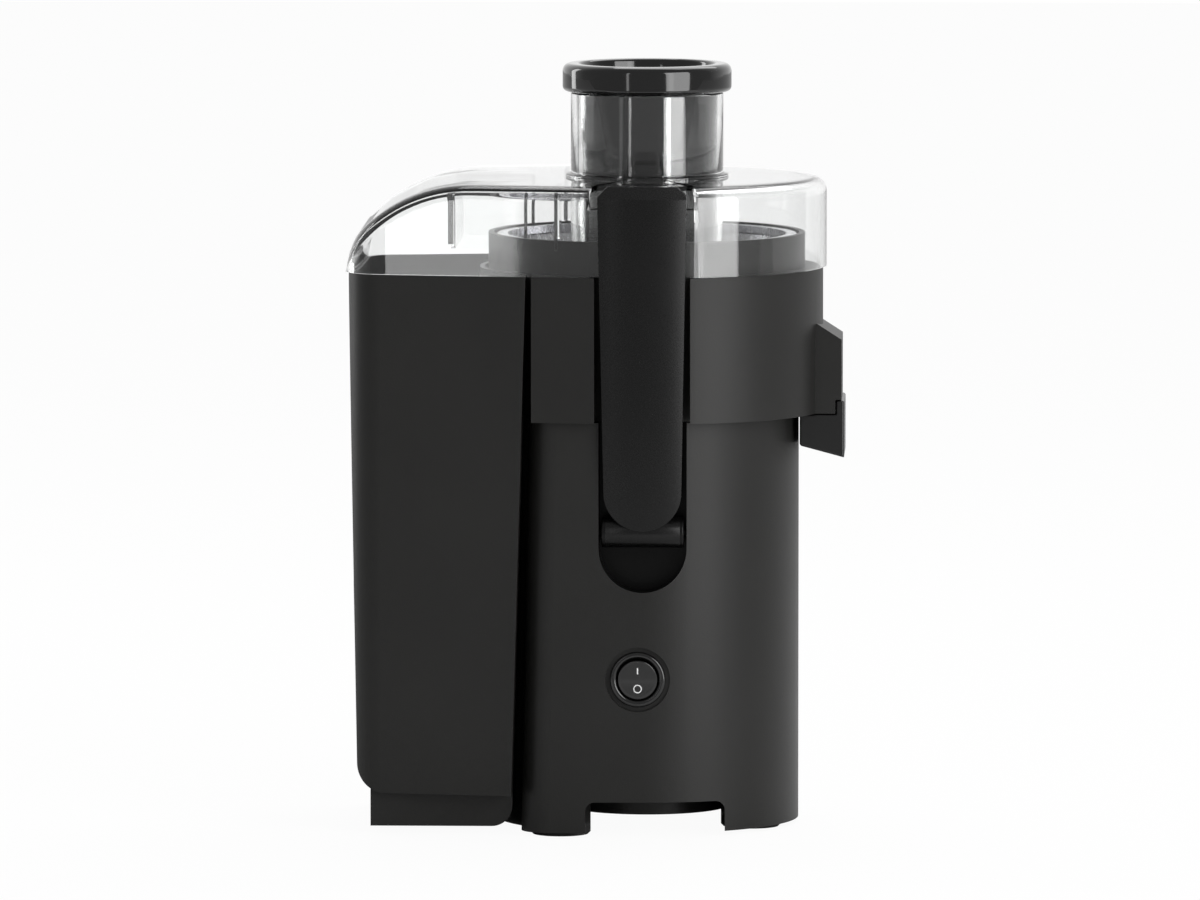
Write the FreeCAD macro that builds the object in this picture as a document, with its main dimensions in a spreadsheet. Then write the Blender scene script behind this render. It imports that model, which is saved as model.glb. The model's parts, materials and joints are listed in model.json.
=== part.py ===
import FreeCAD, Part
import Sketcher
import math
import os
import re

# Driving sizes in millimetres and degrees, taken from the motor axis and from the table
SIZES = [
    ("rear_reach", 124.0, "lid rear end behind the motor axis"),
    ("spout_reach", 7.8, "spout lip in front of the lid"),
    ("move_gap", 0.3, "rest gap between pieces that come apart"),
    ("fit_gap", 0.05, "radial gap of pins, bearings and plugs"),
    ("rim_height", 2.0, "housing rim above the table"),
    ("base_radius", 63.5, "housing front radius and half width"),
    ("base_top", 172.7, "housing deck height"),
    ("base_wall", 2.6, "housing wall"),
    ("deck_wall", 3.0, "housing deck wall"),
    ("shoulder_low", 50.6, "housing rear shoulder at the rim"),
    ("shoulder_lean", 3.4, "lean of the housing rear shoulder"),
    ("shoulder_corner", 12.0, "housing rear corner radius"),
    ("arch_front", 33.9, "skirt arch front edge"),
    ("arch_rear", 23.8, "skirt arch rear edge"),
    ("arch_top", 14.8, "skirt arch height"),
    ("arch_corner", 4.0, "skirt arch corner radius"),
    ("pocket_gap", 2.1, "latch arm foot to pocket side gap"),
    ("pocket_drop", 24.8, "latch pocket lowest point under the pivot"),
    ("pocket_depth", 13.0, "latch pocket depth"),
    ("pocket_wall", 2.5, "latch pocket wall"),
    ("pivot_sink", 5.5, "latch pivot behind the housing side"),
    ("pivot_height", 127.0, "latch pivot height"),
    ("pin_radius", 2.0, "latch pin radius"),
    ("interlock_half", 8.0, "latch microswitch half width"),
    ("interlock_depth", 6.5, "latch microswitch depth"),
    ("interlock_rise", 12.0, "latch microswitch above the pivot"),
    ("interlock_height", 10.0, "latch microswitch height"),
    ("pin_hold", 2.2, "latch pin length held in each pocket wall"),
    ("switch_x", -2.0, "power switch sideways"),
    ("switch_height", 66.0, "power switch height"),
    ("switch_sink_gap", 1.9, "power switch recess beyond the bezel"),
    ("switch_sink", 2.1, "power switch recess depth"),
    ("switch_boss_rim", 3.1, "power switch boss beyond the recess"),
    ("switch_boss_wall", 3.4, "power switch boss wall"),
    ("bezel_radius", 11.5, "power switch bezel radius"),
    ("bezel_proud", 2.1, "power switch bezel thickness"),
    ("bezel_lip", 1.6, "power switch bezel beyond its case"),
    ("switch_case_depth", 24.0, "power switch case depth"),
    ("bezel_face", 3.3, "power switch bezel face width"),
    ("rocker_gap", 0.4, "rocker to bezel gap"),
    ("rocker_depth", 2.4, "rocker edge depth"),
    ("rocker_tilt", 14.0, "angle between the rocker's two faces"),
    ("trunnion_radius", 1.0, "rocker trunnion radius"),
    ("trunnion_reach", 1.0, "rocker trunnion reach into the bezel"),
    ("trunnion_sink", 1.2, "rocker axis behind the bezel face"),
    ("seal_radius", 10.0, "shaft seal radius"),
    ("spigot_inset", 5.3, "bowl locating ring set in from the housing"),
    ("spigot_wall", 3.2, "bowl locating ring wall"),
    ("spigot_height", 2.6, "bowl locating ring height"),
    ("post_offset", 25.0, "motor post from the motor axis, each way"),
    ("post_radius", 5.0, "motor post radius"),
    ("gland_x", -30.0, "cord gland sideways"),
    ("gland_height", 40.0, "cord gland height"),
    ("gland_radius", 6.0, "cord gland radius"),
    ("gland_lip", 2.0, "cord gland flange beyond its neck"),
    ("gland_wall", 2.4, "cord gland wall"),
    ("tongue_short", 15.4, "bin shelf end in front of the plinth rear"),
    ("tongue_half", 22.0, "bin shelf half width"),
    ("tongue_low", 8.2, "bin shelf underside"),
    ("tongue_wall", 4.0, "bin shelf thickness"),
    ("tunnel_gap", 3.0, "bin shelf to plinth tunnel gap"),
    ("cover_rise", 0.6, "bottom cover underside above the arch"),
    ("cover_wall", 2.5, "bottom cover plate"),
    ("vent_radius", 34.0, "bottom vent boss radius"),
    ("vent_low", 6.3, "bottom vent boss lowest face"),
    ("vent_wall", 2.2, "bottom vent boss wall"),
    ("vent_slot_in", 10.0, "vent slot inner end"),
    ("vent_rim", 6.0, "vent boss beyond its slots"),
    ("vent_slot_half", 1.5, "vent slot half width"),
    ("vent_slots", 12, "vent slots around"),
    ("foot_radius", 12.5, "rubber foot radius"),
    ("foot_height", 5.0, "rubber foot height"),
    ("foot_edge", 1.0, "rubber foot bevel"),
    ("foot_stem", 4.0, "rubber foot stem radius"),
    ("foot_stem_height", 4.0, "rubber foot stem height"),
    ("foot_front_set", 19.5, "front feet behind the housing front"),
    ("foot_front_y", 18.0, "front feet sideways"),
    ("foot_rear_set", 16.1, "rear feet in front of the shoulder"),
    ("foot_side_set", 16.5, "rear feet in from the housing side"),
    ("stator_half", 36.0, "stator half width"),
    ("stator_corner", 10.0, "stator corner radius"),
    ("stator_drop", 64.0, "stator underside under the upper bracket"),
    ("stator_stack", 38.0, "stator stack height"),
    ("yoke_wall", 4.4, "stator yoke at the winding window"),
    ("pole_depth", 7.1, "stator pole depth"),
    ("pole_half", 17.0, "stator pole half width"),
    ("air_gap", 0.6, "rotor to pole gap"),
    ("coil_head", 9.0, "field coil height beyond the stack"),
    ("coil_gap", 0.4, "field coil to stator gap"),
    ("bracket_half", 9.0, "motor bracket arm half width"),
    ("bracket_wall", 6.0, "motor bracket plate"),
    ("bracket_leg", 5.0, "motor bracket leg thickness"),
    ("bracket_drop", 28.7, "upper bracket underside under the deck"),
    ("lower_drop", 32.0, "lower bracket underside under the stator"),
    ("bracket_hub", 12.0, "motor bracket hub radius"),
    ("bearing_radius", 8.0, "bearing outer radius"),
    ("shaft_radius", 4.0, "motor shaft radius"),
    ("shaft_tail", 6.0, "motor shaft below the lower bracket"),
    ("shaft_short", 8.0, "motor shaft end below the coupling top"),
    ("slot_count", 12, "armature slots"),
    ("slot_half", 1.4, "armature slot half width"),
    ("slot_depth", 7.0, "armature slot depth"),
    ("winding_inset", 4.5, "armature winding head inside the pole bore"),
    ("winding_head", 7.0, "armature winding head height"),
    ("commutator_radius", 13.0, "commutator radius"),
    ("commutator_rise", 9.0, "commutator above the lower bracket underside"),
    ("commutator_length", 13.0, "commutator length"),
    ("brush_half", 4.0, "brush holder half width"),
    ("brush_rise", 2.0, "brush holder above the commutator underside"),
    ("brush_height", 9.0, "brush holder height"),
    ("brush_clear", 7.0, "brush holder end inside the stator side"),
    ("brush_gap", 0.3, "brush to commutator gap"),
    ("brush_over", 3.0, "brush tip beyond its seat"),
    ("fan_rise", 12.0, "fan underside above the stator"),
    ("fan_height", 10.0, "fan height"),
    ("fan_clear", 2.0, "fan to bracket leg gap"),
    ("fan_blades", 10, "fan blades"),
    ("fan_plate", 2.0, "fan plate"),
    ("fan_hub", 7.0, "fan hub wall"),
    ("fan_rim", 1.0, "fan plate beyond its blades"),
    ("drive_half", 11.0, "drive hexagon half width over flats"),
    ("drive_rise", 8.3, "drive coupling underside above the deck"),
    ("drive_length", 27.0, "drive coupling length"),
    ("lid_radius", 75.0, "lid front radius"),
    ("plan_taper", 10.0, "angle of the sides towards the rear"),
    ("bowl_inset", 1.4, "bowl and bin side set in from the lid"),
    ("bowl_height", 60.6, "bowl and bin rim above the deck"),
    ("bowl_wall", 2.4, "bowl wall"),
    ("bowl_rear_set", 1.2, "bowl rear in front of the housing shoulder"),
    ("ring_inset", 9.0, "juice chamber ring inside the lid"),
    ("ring_rise", 14.4, "juice chamber ring above the bowl rim"),
    ("ring_band", 16.7, "juice chamber ring straight height"),
    ("throat_gap", 0.4, "bowl foot to locating ring gap"),
    ("throat_height", 24.0, "juice chamber foot height"),
    ("bowl_rise", 0.7, "juice chamber floor above the locating ring"),
    ("tube_radius", 18.0, "bowl centre tube radius"),
    ("tube_height", 18.0, "bowl centre tube height"),
    ("channel_gap", 1.45, "latch arm to bowl channel gap"),
    ("hood_half", 20.0, "spout hood half width"),
    ("hood_reach", 6.6, "spout hood in front of the lid"),
    ("hood_rise", 31.3, "spout hood front edge above the deck"),
    ("hood_slope", 6.5, "spout hood rise towards the bowl"),
    ("hood_root_set", 3.5, "spout hood root inside the lid front"),
    ("hood_step_set", 2.6, "spout hood step depth"),
    ("hood_step_rise", 6.1, "spout hood step above the deck"),
    ("hood_wall", 2.2, "spout hood wall"),
    ("hood_back_gap", 2.0, "spout duct rear beyond the chamber foot"),
    ("outlet_set", 7.0, "juice outlet side inside the hood side"),
    ("outlet_height", 20.0, "juice outlet height"),
    ("nozzle_gap", 0.7, "nozzle to housing gap"),
    ("nozzle_drop", 13.1, "nozzle lower edge under the deck"),
    ("nozzle_slant", 5.0, "nozzle lower edge slant"),
    ("nozzle_wall", 1.8, "nozzle wall"),
    ("nozzle_plug", 9.0, "nozzle neck height inside the hood"),
    ("lid_height", 37.1, "lid height"),
    ("lid_wall", 2.4, "lid wall"),
    ("lid_flat", 52.7, "length of the curved rear of the lid"),
    ("lid_rear_radius", 26.0, "lid rear lower arc radius"),
    ("lid_edge", 5.0, "lid top edge radius"),
    ("notch_gap", 3.1, "latch arm to lid notch side gap"),
    ("notch_wall", 1.4, "lid notch wall"),
    ("notch_depth", 6.7, "lid notch depth"),
    ("ramp_rise", 8.7, "lid notch ramp height"),
    ("chute_wall", 1.9, "feed chute wall"),
    ("chute_rise", 35.3, "feed chute above the lid"),
    ("chute_drop", 11.6, "feed chute below the lid rim"),
    ("chute_foot_step", 2.2, "feed chute foot ring width"),
    ("chute_foot_height", 1.8, "feed chute foot ring height"),
    ("pusher_radius", 29.5, "pusher radius"),
    ("pusher_gap", 0.4, "pusher to chute gap"),
    ("pusher_short", 4.0, "pusher lower face above the chute end"),
    ("pusher_wall", 2.2, "pusher wall"),
    ("cap_over", 3.45, "pusher cap beyond the chute"),
    ("cap_height", 11.7, "pusher cap height"),
    ("cap_edge", 2.6, "pusher cap edge radius"),
    ("fin_set", 44.0, "lid deflector fin in front of the lid rear"),
    ("fin_gap", 9.4, "lid deflector fin above the lid rim"),
    ("fin_wall", 1.8, "lid deflector fin wall"),
    ("fin_half", 40.0, "lid deflector fin half width"),
    ("guard_width", 8.0, "lid inner guard beyond the fin"),
    ("web_length", 22.0, "lid deflector web length"),
    ("guard_set", 4.2, "lid inner guard behind the chute"),
    ("guard_gap", 1.3, "lid inner guard above the chamber ring"),
    ("arm_top_half", 18.4, "latch arm half width at the top"),
    ("arm_low_half", 16.1, "latch arm half width at the foot"),
    ("arm_foot", 0.8, "latch arm rounded end above the pivot"),
    ("arm_over", 0.3, "latch arm top above the lid"),
    ("arm_depth", 6.7, "latch arm outer face beyond the notch back"),
    ("arm_wall", 3.6, "latch arm thickness"),
    ("arm_corner", 4.0, "latch arm top corner radius"),
    ("arm_round", 5.0, "latch arm top edge radius"),
    ("nose_reach", 4.8, "latch nose reach over the lid"),
    ("nose_gap", 0.6, "latch nose to lid ramp gap"),
    ("barrel_radius", 6.4, "latch barrel radius"),
    ("barrel_gap", 2.7, "latch barrel to pocket side gap"),
    ("bin_wall", 2.2, "bin wall"),
    ("bin_floor", 17.5, "bin body underside"),
    ("bin_rear_set", 1.3, "bin rear rim inside the lid rear"),
    ("bin_rear_lean", 3.8, "bin rear lean"),
    ("bin_front_gap", 1.1, "bin front to housing shoulder gap at the rim"),
    ("bin_toe_gap", 3.8, "bin front to housing shoulder gap at the floor"),
    ("bin_gap", 4.0, "bin hollow to housing gap"),
    ("bin_ring_gap", 1.5, "bin hollow to chamber ring gap"),
    ("bin_corner", 17.0, "bin rear corner radius"),
    ("bin_heel", 12.0, "bin lower rear radius"),
    ("plinth_low", 3.4, "bin plinth underside"),
    ("plinth_set", 5.5, "bin plinth rear inside the bin rear"),
    ("plinth_inset", 3.0, "bin plinth side set in"),
    ("plinth_toe", 8.5, "bin plinth front toe radius"),
    ("grip_rise", 12.5, "bin rear grip pad above the bin floor"),
    ("grip_height", 73.0, "bin rear grip pad length"),
    ("grip_half", 26.0, "bin rear grip pad half width"),
    ("grip_proud", 1.2, "bin rear grip pad height"),
    ("disc_radius", 46.0, "grater disc radius"),
    ("disc_rise", 4.0, "grater disc above the drive coupling"),
    ("disc_wall", 1.0, "grater disc thickness"),
    ("tooth_height", 1.8, "grater tooth height"),
    ("tooth_half", 1.1, "grater tooth half width"),
    ("tooth_length", 3.2, "grater tooth length"),
    ("tooth_count", 15, "grater teeth in one ring"),
    ("tooth_gap", 2.6, "gap between rings of grater teeth"),
    ("tooth_edge", 2.0, "outer ring of grater teeth inside the disc edge"),
    ("rim_lip", 2.4, "basket rim beyond the sieve"),
    ("sieve_height", 32.0, "sieve height"),
    ("sieve_wall", 0.8, "sieve wall"),
    ("sieve_slots", 24, "sieve slots around"),
    ("sieve_slot_half", 0.7, "sieve slot half width"),
    ("rim_gap", 1.2, "basket rim to chamber ring gap"),
    ("rim_depth", 3.0, "basket rim height"),
    ("rim_over", 1.0, "basket rim inside the sieve"),
    ("hub_over", 2.0, "basket hub beyond the centre tube"),
    ("hub_gap", 2.0, "basket hub above the centre tube"),
    ("drive_gap", 0.3, "hub socket to drive hexagon gap"),
    ("hub_lip", 2.0, "basket hub flat lip width"),
    ("hub_plate", 1.6, "basket hub lip thickness"),
]

# Places and sizes that follow from the driving sizes
FOLLOWS = {
    "front_reach": "lid_radius + spout_reach",
    "shoulder_high": "shoulder_low - shoulder_lean",
    "pocket_half": "arm_low_half + pocket_gap",
    "pocket_bottom": "pivot_height - pocket_drop",
    "pocket_floor": "base_radius - pocket_depth",
    "pivot_out": "base_radius - pivot_sink",
    "pin_half": "pocket_half + pin_hold",
    "switch_sink_radius": "bezel_radius + switch_sink_gap",
    "switch_seat": "base_radius - switch_sink",
    "switch_boss": "switch_sink_radius + switch_boss_rim",
    "switch_case_radius": "bezel_radius - bezel_lip",
    "rocker_radius": "bezel_radius - bezel_face",
    "spigot_radius": "base_radius - spigot_inset",
    "gland_flange": "gland_radius + gland_lip",
    "gland_bore": "gland_radius - gland_wall",
    "tongue_end": "plinth_rear - tongue_short",
    "cover_level": "arch_top + cover_rise",
    "vent_slot_out": "vent_radius - vent_rim",
    "foot_front_x": "base_radius - foot_front_set",
    "foot_rear_x": "shoulder_low - foot_rear_set",
    "foot_rear_y": "base_radius - foot_side_set",
    "stator_low": "upper_bracket_level - stator_drop",
    "window_radius": "stator_half - yoke_wall",
    "pole_radius": "window_radius - pole_depth",
    "upper_bracket_level": "base_top - bracket_drop",
    "lower_bracket_level": "stator_low - lower_drop",
    "shaft_low": "lower_bracket_level - shaft_tail",
    "shaft_top": "drive_top - shaft_short",
    "winding_radius": "pole_radius - winding_inset",
    "commutator_low": "lower_bracket_level + commutator_rise",
    "brush_low": "commutator_low + brush_rise",
    "brush_end": "stator_half - brush_clear",
    "fan_low": "stator_low + stator_stack + fan_rise",
    "fan_radius": "stator_half - bracket_leg - fan_clear",
    "drive_low": "base_top + drive_rise",
    "drive_top": "drive_low + drive_length",
    "bowl_top": "base_top + bowl_height",
    "bowl_rear": "shoulder_high - bowl_rear_set",
    "ring_radius": "lid_radius - ring_inset",
    "ring_top": "bowl_top + ring_rise",
    "ring_straight": "ring_top - ring_band",
    "throat_radius": "spigot_radius + throat_gap + bowl_wall",
    "throat_top": "bowl_floor + throat_height",
    "bowl_floor": "base_top + spigot_height + bowl_rise",
    "tube_top": "bowl_floor + tube_height",
    "channel_half": "arm_top_half + channel_gap",
    "hood_front": "lid_radius + hood_reach",
    "hood_top": "base_top + hood_rise",
    "hood_root": "hood_top + hood_slope",
    "hood_root_x": "lid_radius - hood_root_set",
    "hood_step": "hood_front - hood_step_set",
    "hood_step_height": "base_top + hood_step_rise",
    "hood_back": "throat_radius + hood_back_gap",
    "outlet_half": "hood_half - outlet_set",
    "outlet_top": "bowl_floor + outlet_height",
    "nozzle_back": "base_radius + nozzle_gap",
    "nozzle_low_back": "base_top - nozzle_drop",
    "nozzle_low_front": "nozzle_low_back - nozzle_slant",
    "lid_rim": "bowl_top + move_gap",
    "lid_top": "lid_rim + lid_height",
    "notch_half": "arm_top_half + notch_gap",
    "notch_out": "lid_radius - notch_depth",
    "notch_ramp": "lid_top - ramp_rise",
    "chute_radius": "pusher_radius + pusher_gap + chute_wall",
    "chute_top": "lid_top + chute_rise",
    "chute_low": "lid_rim - chute_drop",
    "chute_foot": "chute_radius + chute_foot_step",
    "pusher_low": "chute_low + pusher_short",
    "cap_radius": "chute_radius + cap_over",
    "cap_low": "chute_top + move_gap",
    "cap_top": "cap_low + cap_height",
    "fin_x": "rear_reach - fin_set",
    "fin_low": "lid_rim + fin_gap",
    "web_x": "fin_x - web_length",
    "guard_x": "chute_radius + guard_set",
    "guard_low": "max(ring_top; sieve_top + rim_depth) + guard_gap",
    "arm_low": "pivot_height + arm_foot",
    "arm_top": "lid_top + arm_over",
    "arm_top_out": "notch_out + arm_depth",
    "nose_in": "notch_out - nose_reach",
    "barrel_half": "pocket_half - barrel_gap",
    "bin_rear_high": "rear_reach - bin_rear_set",
    "bin_rear_low": "bin_rear_high - bin_rear_lean",
    "bin_front_high": "shoulder_high + bin_front_gap",
    "bin_front_low": "shoulder_low + bin_toe_gap",
    "bin_hollow": "max(base_radius + bin_gap; ring_radius + bin_ring_gap)",
    "plinth_rear": "bin_rear_low - plinth_set",
    "grip_low": "bin_floor + grip_rise",
    "grip_high": "grip_low + grip_height",
    "disc_level": "drive_top + disc_rise",
    "sieve_top_radius": "rim_radius - rim_lip",
    "sieve_top": "disc_level + sieve_height",
    "rim_radius": "ring_radius - bowl_wall - rim_gap",
    "hub_radius": "tube_radius + hub_over",
    "hub_low": "tube_top + hub_gap",
}

doc = FreeCAD.newDocument("centrifugal_juicer")
sheet = doc.addObject("Spreadsheet::Sheet", "Sizes")
for row, (alias, size, note) in enumerate(SIZES, start=1):
    sheet.set("A%d" % row, note)
    sheet.set("B%d" % row, str(size))
    sheet.setAlias("B%d" % row, alias)
doc.recompute()

NAMES = {alias for alias, size, note in SIZES}
NODES = []
AXIS_X = "(rear_reach - front_reach) / 2"


def tied_word(word):
    """One word of an expression: a cell, an expression that follows from cells, or the word itself."""
    if word in FOLLOWS:
        return "(%s)" % tied(FOLLOWS[word])
    return "Sizes." + word if word in NAMES else word


def tied(text):
    """Expression text with each size name tied to its cell."""
    return re.sub(r"[a-z][a-z_0-9]*", lambda found: tied_word(found[0]), str(text))


def number(text):
    """Value of an expression in size names."""
    return float(sheet.evalExpression(tied(text)))


def pin_point(drawn, shape, end, x, y, both=True, upright=False):
    """Ties one sketch point to its coordinates, or to one of them on an arc's far end."""
    for kind, axis, text in (("DistanceX", -2, x), ("DistanceY", -1, y)):
        if not both and (kind == "DistanceX") == upright:
            continue
        if text == "0":
            drawn.addConstraint(Sketcher.Constraint("PointOnObject", shape, end, axis))
            continue
        index = drawn.addConstraint(Sketcher.Constraint(kind, -1, 1, shape, end, number(text)))
        drawn.setExpression("Constraints[%d]" % index, tied(text))


def draw_loop(drawn, loop):
    """Closed loop of corners, each (x, y), with ("arc", x, y, turn) steps between corners, or one circle."""
    up = FreeCAD.Vector(0, 0, 1)
    if loop[0] == "circle":
        middle = FreeCAD.Vector(number(loop[1]), number(loop[2]), 0)
        shape = drawn.addGeometry(Part.Circle(middle, up, number(loop[3])))
        pin_point(drawn, shape, 3, loop[1], loop[2])
        index = drawn.addConstraint(Sketcher.Constraint("Radius", shape, number(loop[3])))
        drawn.setExpression("Constraints[%d]" % index, tied(loop[3]))
        return
    corners = []
    for step in loop:
        if step[0] == "arc":
            corners[-1][2] = step
        else:
            corners.append([step[0], step[1], None])
    count = len(corners)
    places = [FreeCAD.Vector(number(x), number(y), 0) for x, y, arc in corners]
    pieces = []
    for i, (x, y, arc) in enumerate(corners):
        start = places[i]
        end = places[(i + 1) % count]
        if arc is None:
            pieces.append((drawn.addGeometry(Part.LineSegment(start, end)), 1, 2))
            continue
        middle = FreeCAD.Vector(number(arc[1]), number(arc[2]), 0)
        circle = Part.Circle(middle, up, (start - middle).Length)
        first = math.atan2(start.y - middle.y, start.x - middle.x)
        last = math.atan2(end.y - middle.y, end.x - middle.x)
        if arc[3] == "left":
            pieces.append((drawn.addGeometry(Part.ArcOfCircle(circle, first, last)), 1, 2))
        else:
            pieces.append((drawn.addGeometry(Part.ArcOfCircle(circle, last, first)), 2, 1))
    for i in range(count):
        shape, start, end = pieces[i]
        other, other_start, other_end = pieces[(i + 1) % count]
        drawn.addConstraint(Sketcher.Constraint("Coincident", shape, end, other, other_start))
    for i, (x, y, arc) in enumerate(corners):
        before = corners[i - 1][2]
        upright = False
        if before is not None:
            reach = places[i] - FreeCAD.Vector(number(before[1]), number(before[2]), 0)
            upright = abs(reach.x) > abs(reach.y)
        pin_point(drawn, pieces[i][0], pieces[i][1], x, y, before is None, upright)
        if arc is not None:
            pin_point(drawn, pieces[i][0], 3, arc[1], arc[2])


def new_sketch(body, plane, offset, loops):
    """Sketch on one of the body's own origin planes, set off along the plane's normal."""
    drawn = body.newObject("Sketcher::SketchObject", body.Name + "_sketch")
    role = plane + "_Plane"
    drawn.AttachmentSupport = (next(f for f in body.Origin.OriginFeatures if f.Role == role), [""])
    drawn.MapMode = "FlatFace"
    drawn.setExpression("AttachmentOffset.Base.z", tied(offset))
    for loop in loops:
        draw_loop(drawn, loop)
    return drawn


def offset_of(plane, low, high):
    """Sketch offset so that a pad along the normal fills low to high on the world axis."""
    return "-(%s)" % high if plane == "XZ" else low


def new_body(name):
    """Empty body."""
    return doc.addObject("PartDesign::Body", name)


def pad(body, plane, low, high, *loops):
    """Pad from low to high along the plane's world axis."""
    feature = body.newObject("PartDesign::Pad", body.Name + "_pad")
    feature.Profile = new_sketch(body, plane, offset_of(plane, low, high), loops)
    feature.setExpression("Length", tied("(%s) - (%s)" % (high, low)))
    body.Tip = feature
    return feature


def pocket(body, plane, low, high, *loops):
    """Pocket from low to high along the plane's world axis."""
    feature = body.newObject("PartDesign::Pocket", body.Name + "_pocket")
    feature.Profile = new_sketch(body, plane, offset_of(plane, low, high), loops)
    feature.Reversed = True
    feature.setExpression("Length", tied("(%s) - (%s)" % (high, low)))
    body.Tip = feature
    return feature


def turn(body, *loops, cut=False):
    """Turned form about the motor axis from a half section of (radius, height) corners."""
    kind = "Groove" if cut else "Revolution"
    feature = body.newObject("PartDesign::" + kind, body.Name + "_turn")
    drawn = new_sketch(body, "XZ", "0", loops)
    feature.Profile = drawn
    feature.ReferenceAxis = (drawn, ["V_Axis"])
    feature.Angle = 360
    body.Tip = feature
    return feature


def ring_of(body, features, count):
    """Polar pattern of features about the motor axis."""
    feature = body.newObject("PartDesign::PolarPattern", body.Name + "_ring")
    feature.Originals = features
    axis = next(f for f in body.Origin.OriginFeatures if f.Role == "Z_Axis")
    feature.Axis = (axis, [""])
    feature.Angle = 360
    feature.setExpression("Occurrences", tied(count))
    body.Tip = feature
    return feature


def round_edges(body, radius, wanted):
    """Fillet of the edges whose middle passes the test."""
    doc.recompute()
    base = body.Tip
    names = []
    for i, edge in enumerate(base.Shape.Edges, start=1):
        middle = edge.valueAt((edge.FirstParameter + edge.LastParameter) / 2)
        if wanted(edge, middle):
            names.append("Edge%d" % i)
    if not names:
        raise RuntimeError("no edge to round on " + body.Name)
    feature = body.newObject("PartDesign::Fillet", body.Name + "_round")
    feature.Base = (base, names)
    feature.setExpression("Radius", tied(radius))
    body.Tip = feature
    return feature


def joined(name, pieces):
    """Union of several forms."""
    result = doc.addObject("Part::MultiFuse", name)
    result.Shapes = pieces
    return result


def shared(name, first, second):
    """Volume that two forms share."""
    result = doc.addObject("Part::Common", name)
    result.Base = first
    result.Tool = second
    return result


def less(name, first, second):
    """First form with the second taken out."""
    result = doc.addObject("Part::Cut", name)
    result.Base = first
    result.Tool = second
    return result


def prism(name, plane, low, high, *loops):
    """Body of one pad."""
    body = new_body(name)
    pad(body, plane, low, high, *loops)
    return body


def node(label, result):
    """Names a finished piece and sets it on the motor axis."""
    result.Label = label
    result.setExpression("Placement.Base.x", tied(AXIS_X))
    NODES.append(result)


def block(x0, y0, x1, y1):
    """Rectangle loop."""
    return [(x0, y0), (x1, y0), (x1, y1), (x0, y1)]


def u_loop(half, middle, top):
    """Slot outline with a round lower end."""
    left = "-(%s)" % half
    return [(left, top), (left, middle), ("arc", "0", middle, "left"), (half, middle), (half, top)]


SIDES = (("near", "-1 * "), ("far", "1 * "))


def span(sign, inner, outer):
    """Low and high world Y of a stretch between two distances from the motor axis on one side."""
    if sign.startswith("-"):
        return "-(%s)" % outer, "-(%s)" % inner
    return inner, outer


# Base housing: round front, square shoulders towards the bin, deck on top and open below
POCKET_MIDDLE = "pocket_bottom + pocket_half"


def base_form(name, inset, low, high):
    """Housing outline, set in by a wall."""
    body = new_body(name)
    half = "base_radius - " + inset
    pad(body, "XY", low, high, ("circle", "0", "0", half))
    rise = "(shoulder_low - shoulder_high) / (base_top - rim_height)"
    rear_low = "-(shoulder_low - %s * (%s - rim_height) - %s)" % (rise, low, inset)
    rear_high = "-(shoulder_low - %s * (%s - rim_height) - %s)" % (rise, high, inset)
    section = [("0", low), ("0", high), (rear_high, high), (rear_low, low)]
    pad(body, "XZ", "-(%s)" % half, half, section)
    limit = number(half) - 0.5
    back = -number("shoulder_low")
    round_edges(body, "shoulder_corner - " + inset, lambda edge, middle: abs(middle.y) > limit
                and middle.x < back / 2 and abs(edge.tangentAt(edge.FirstParameter).z) > 0.9)
    return body


base_outer = base_form("base_outer", "0", "rim_height", "base_top")
base_inner = base_form("base_inner", "base_wall", "(rim_height - base_wall)", "(base_top - deck_wall)")
base_shell = less("base_shell", base_outer, base_inner)
base_ribs = []
base_cuts = []
for side, sign in SIDES:
    low, high = span(sign, "pocket_floor - pocket_wall", "base_radius")
    loop = u_loop("pocket_half + pocket_wall", POCKET_MIDDLE, "base_top")
    base_ribs.append(prism("pocket_boss_" + side, "XZ", low, high, loop))
    low, high = span(sign, "pocket_floor", "base_radius + base_wall")
    loop = u_loop("pocket_half", POCKET_MIDDLE, "base_top + deck_wall")
    base_cuts.append(prism("pocket_cut_" + side, "XZ", low, high, loop))
    hole = ("circle", sign + "pivot_out", "pivot_height", "pin_radius + fit_gap")
    base_cuts.append(prism("pin_hole_" + side, "YZ", "-(pin_half + fit_gap)", "pin_half + fit_gap", hole))
posts = [("circle", a + "post_offset", b + "post_offset", "post_radius")
         for a in ("", "-") for b in ("", "-")]
base_ribs.append(prism("motor_posts", "XY", "upper_bracket_level + bracket_wall", "base_top", *posts))
boss = ("circle", "switch_x", "switch_height", "switch_boss")
base_ribs.append(prism("switch_boss", "XZ", "-base_radius", "-(switch_seat - switch_boss_wall)", boss))
base_inside = shared("base_inside", base_outer, joined("base_ribs", base_ribs))
spigot = prism("spigot", "XY", "base_top - deck_wall / 2", "base_top + spigot_height",
               ("circle", "0", "0", "spigot_radius"), ("circle", "0", "0", "spigot_radius - spigot_wall"))
tongue = prism("tongue", "XY", "tongue_low", "tongue_low + tongue_wall",
               block("-tongue_end", "-tongue_half", "-(base_radius - 2 * base_wall)", "tongue_half"))
base_cuts.append(prism("sink_cut", "XZ", "-(base_radius + base_wall)", "-switch_seat",
                       ("circle", "switch_x", "switch_height", "switch_sink_radius")))
base_cuts.append(prism("switch_cut", "XZ", "-base_radius", "-(switch_seat - 2 * switch_boss_wall)",
                       ("circle", "switch_x", "switch_height", "switch_case_radius + fit_gap")))
base_cuts.append(prism("seal_cut", "XY", "base_top - 2 * deck_wall", "base_top + deck_wall",
                       ("circle", "0", "0", "seal_radius + fit_gap")))
base_cuts.append(prism("gland_cut", "XZ", "base_radius - 2 * base_wall", "base_radius + base_wall",
                       ("circle", "gland_x", "gland_height", "gland_radius + fit_gap")))
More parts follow.
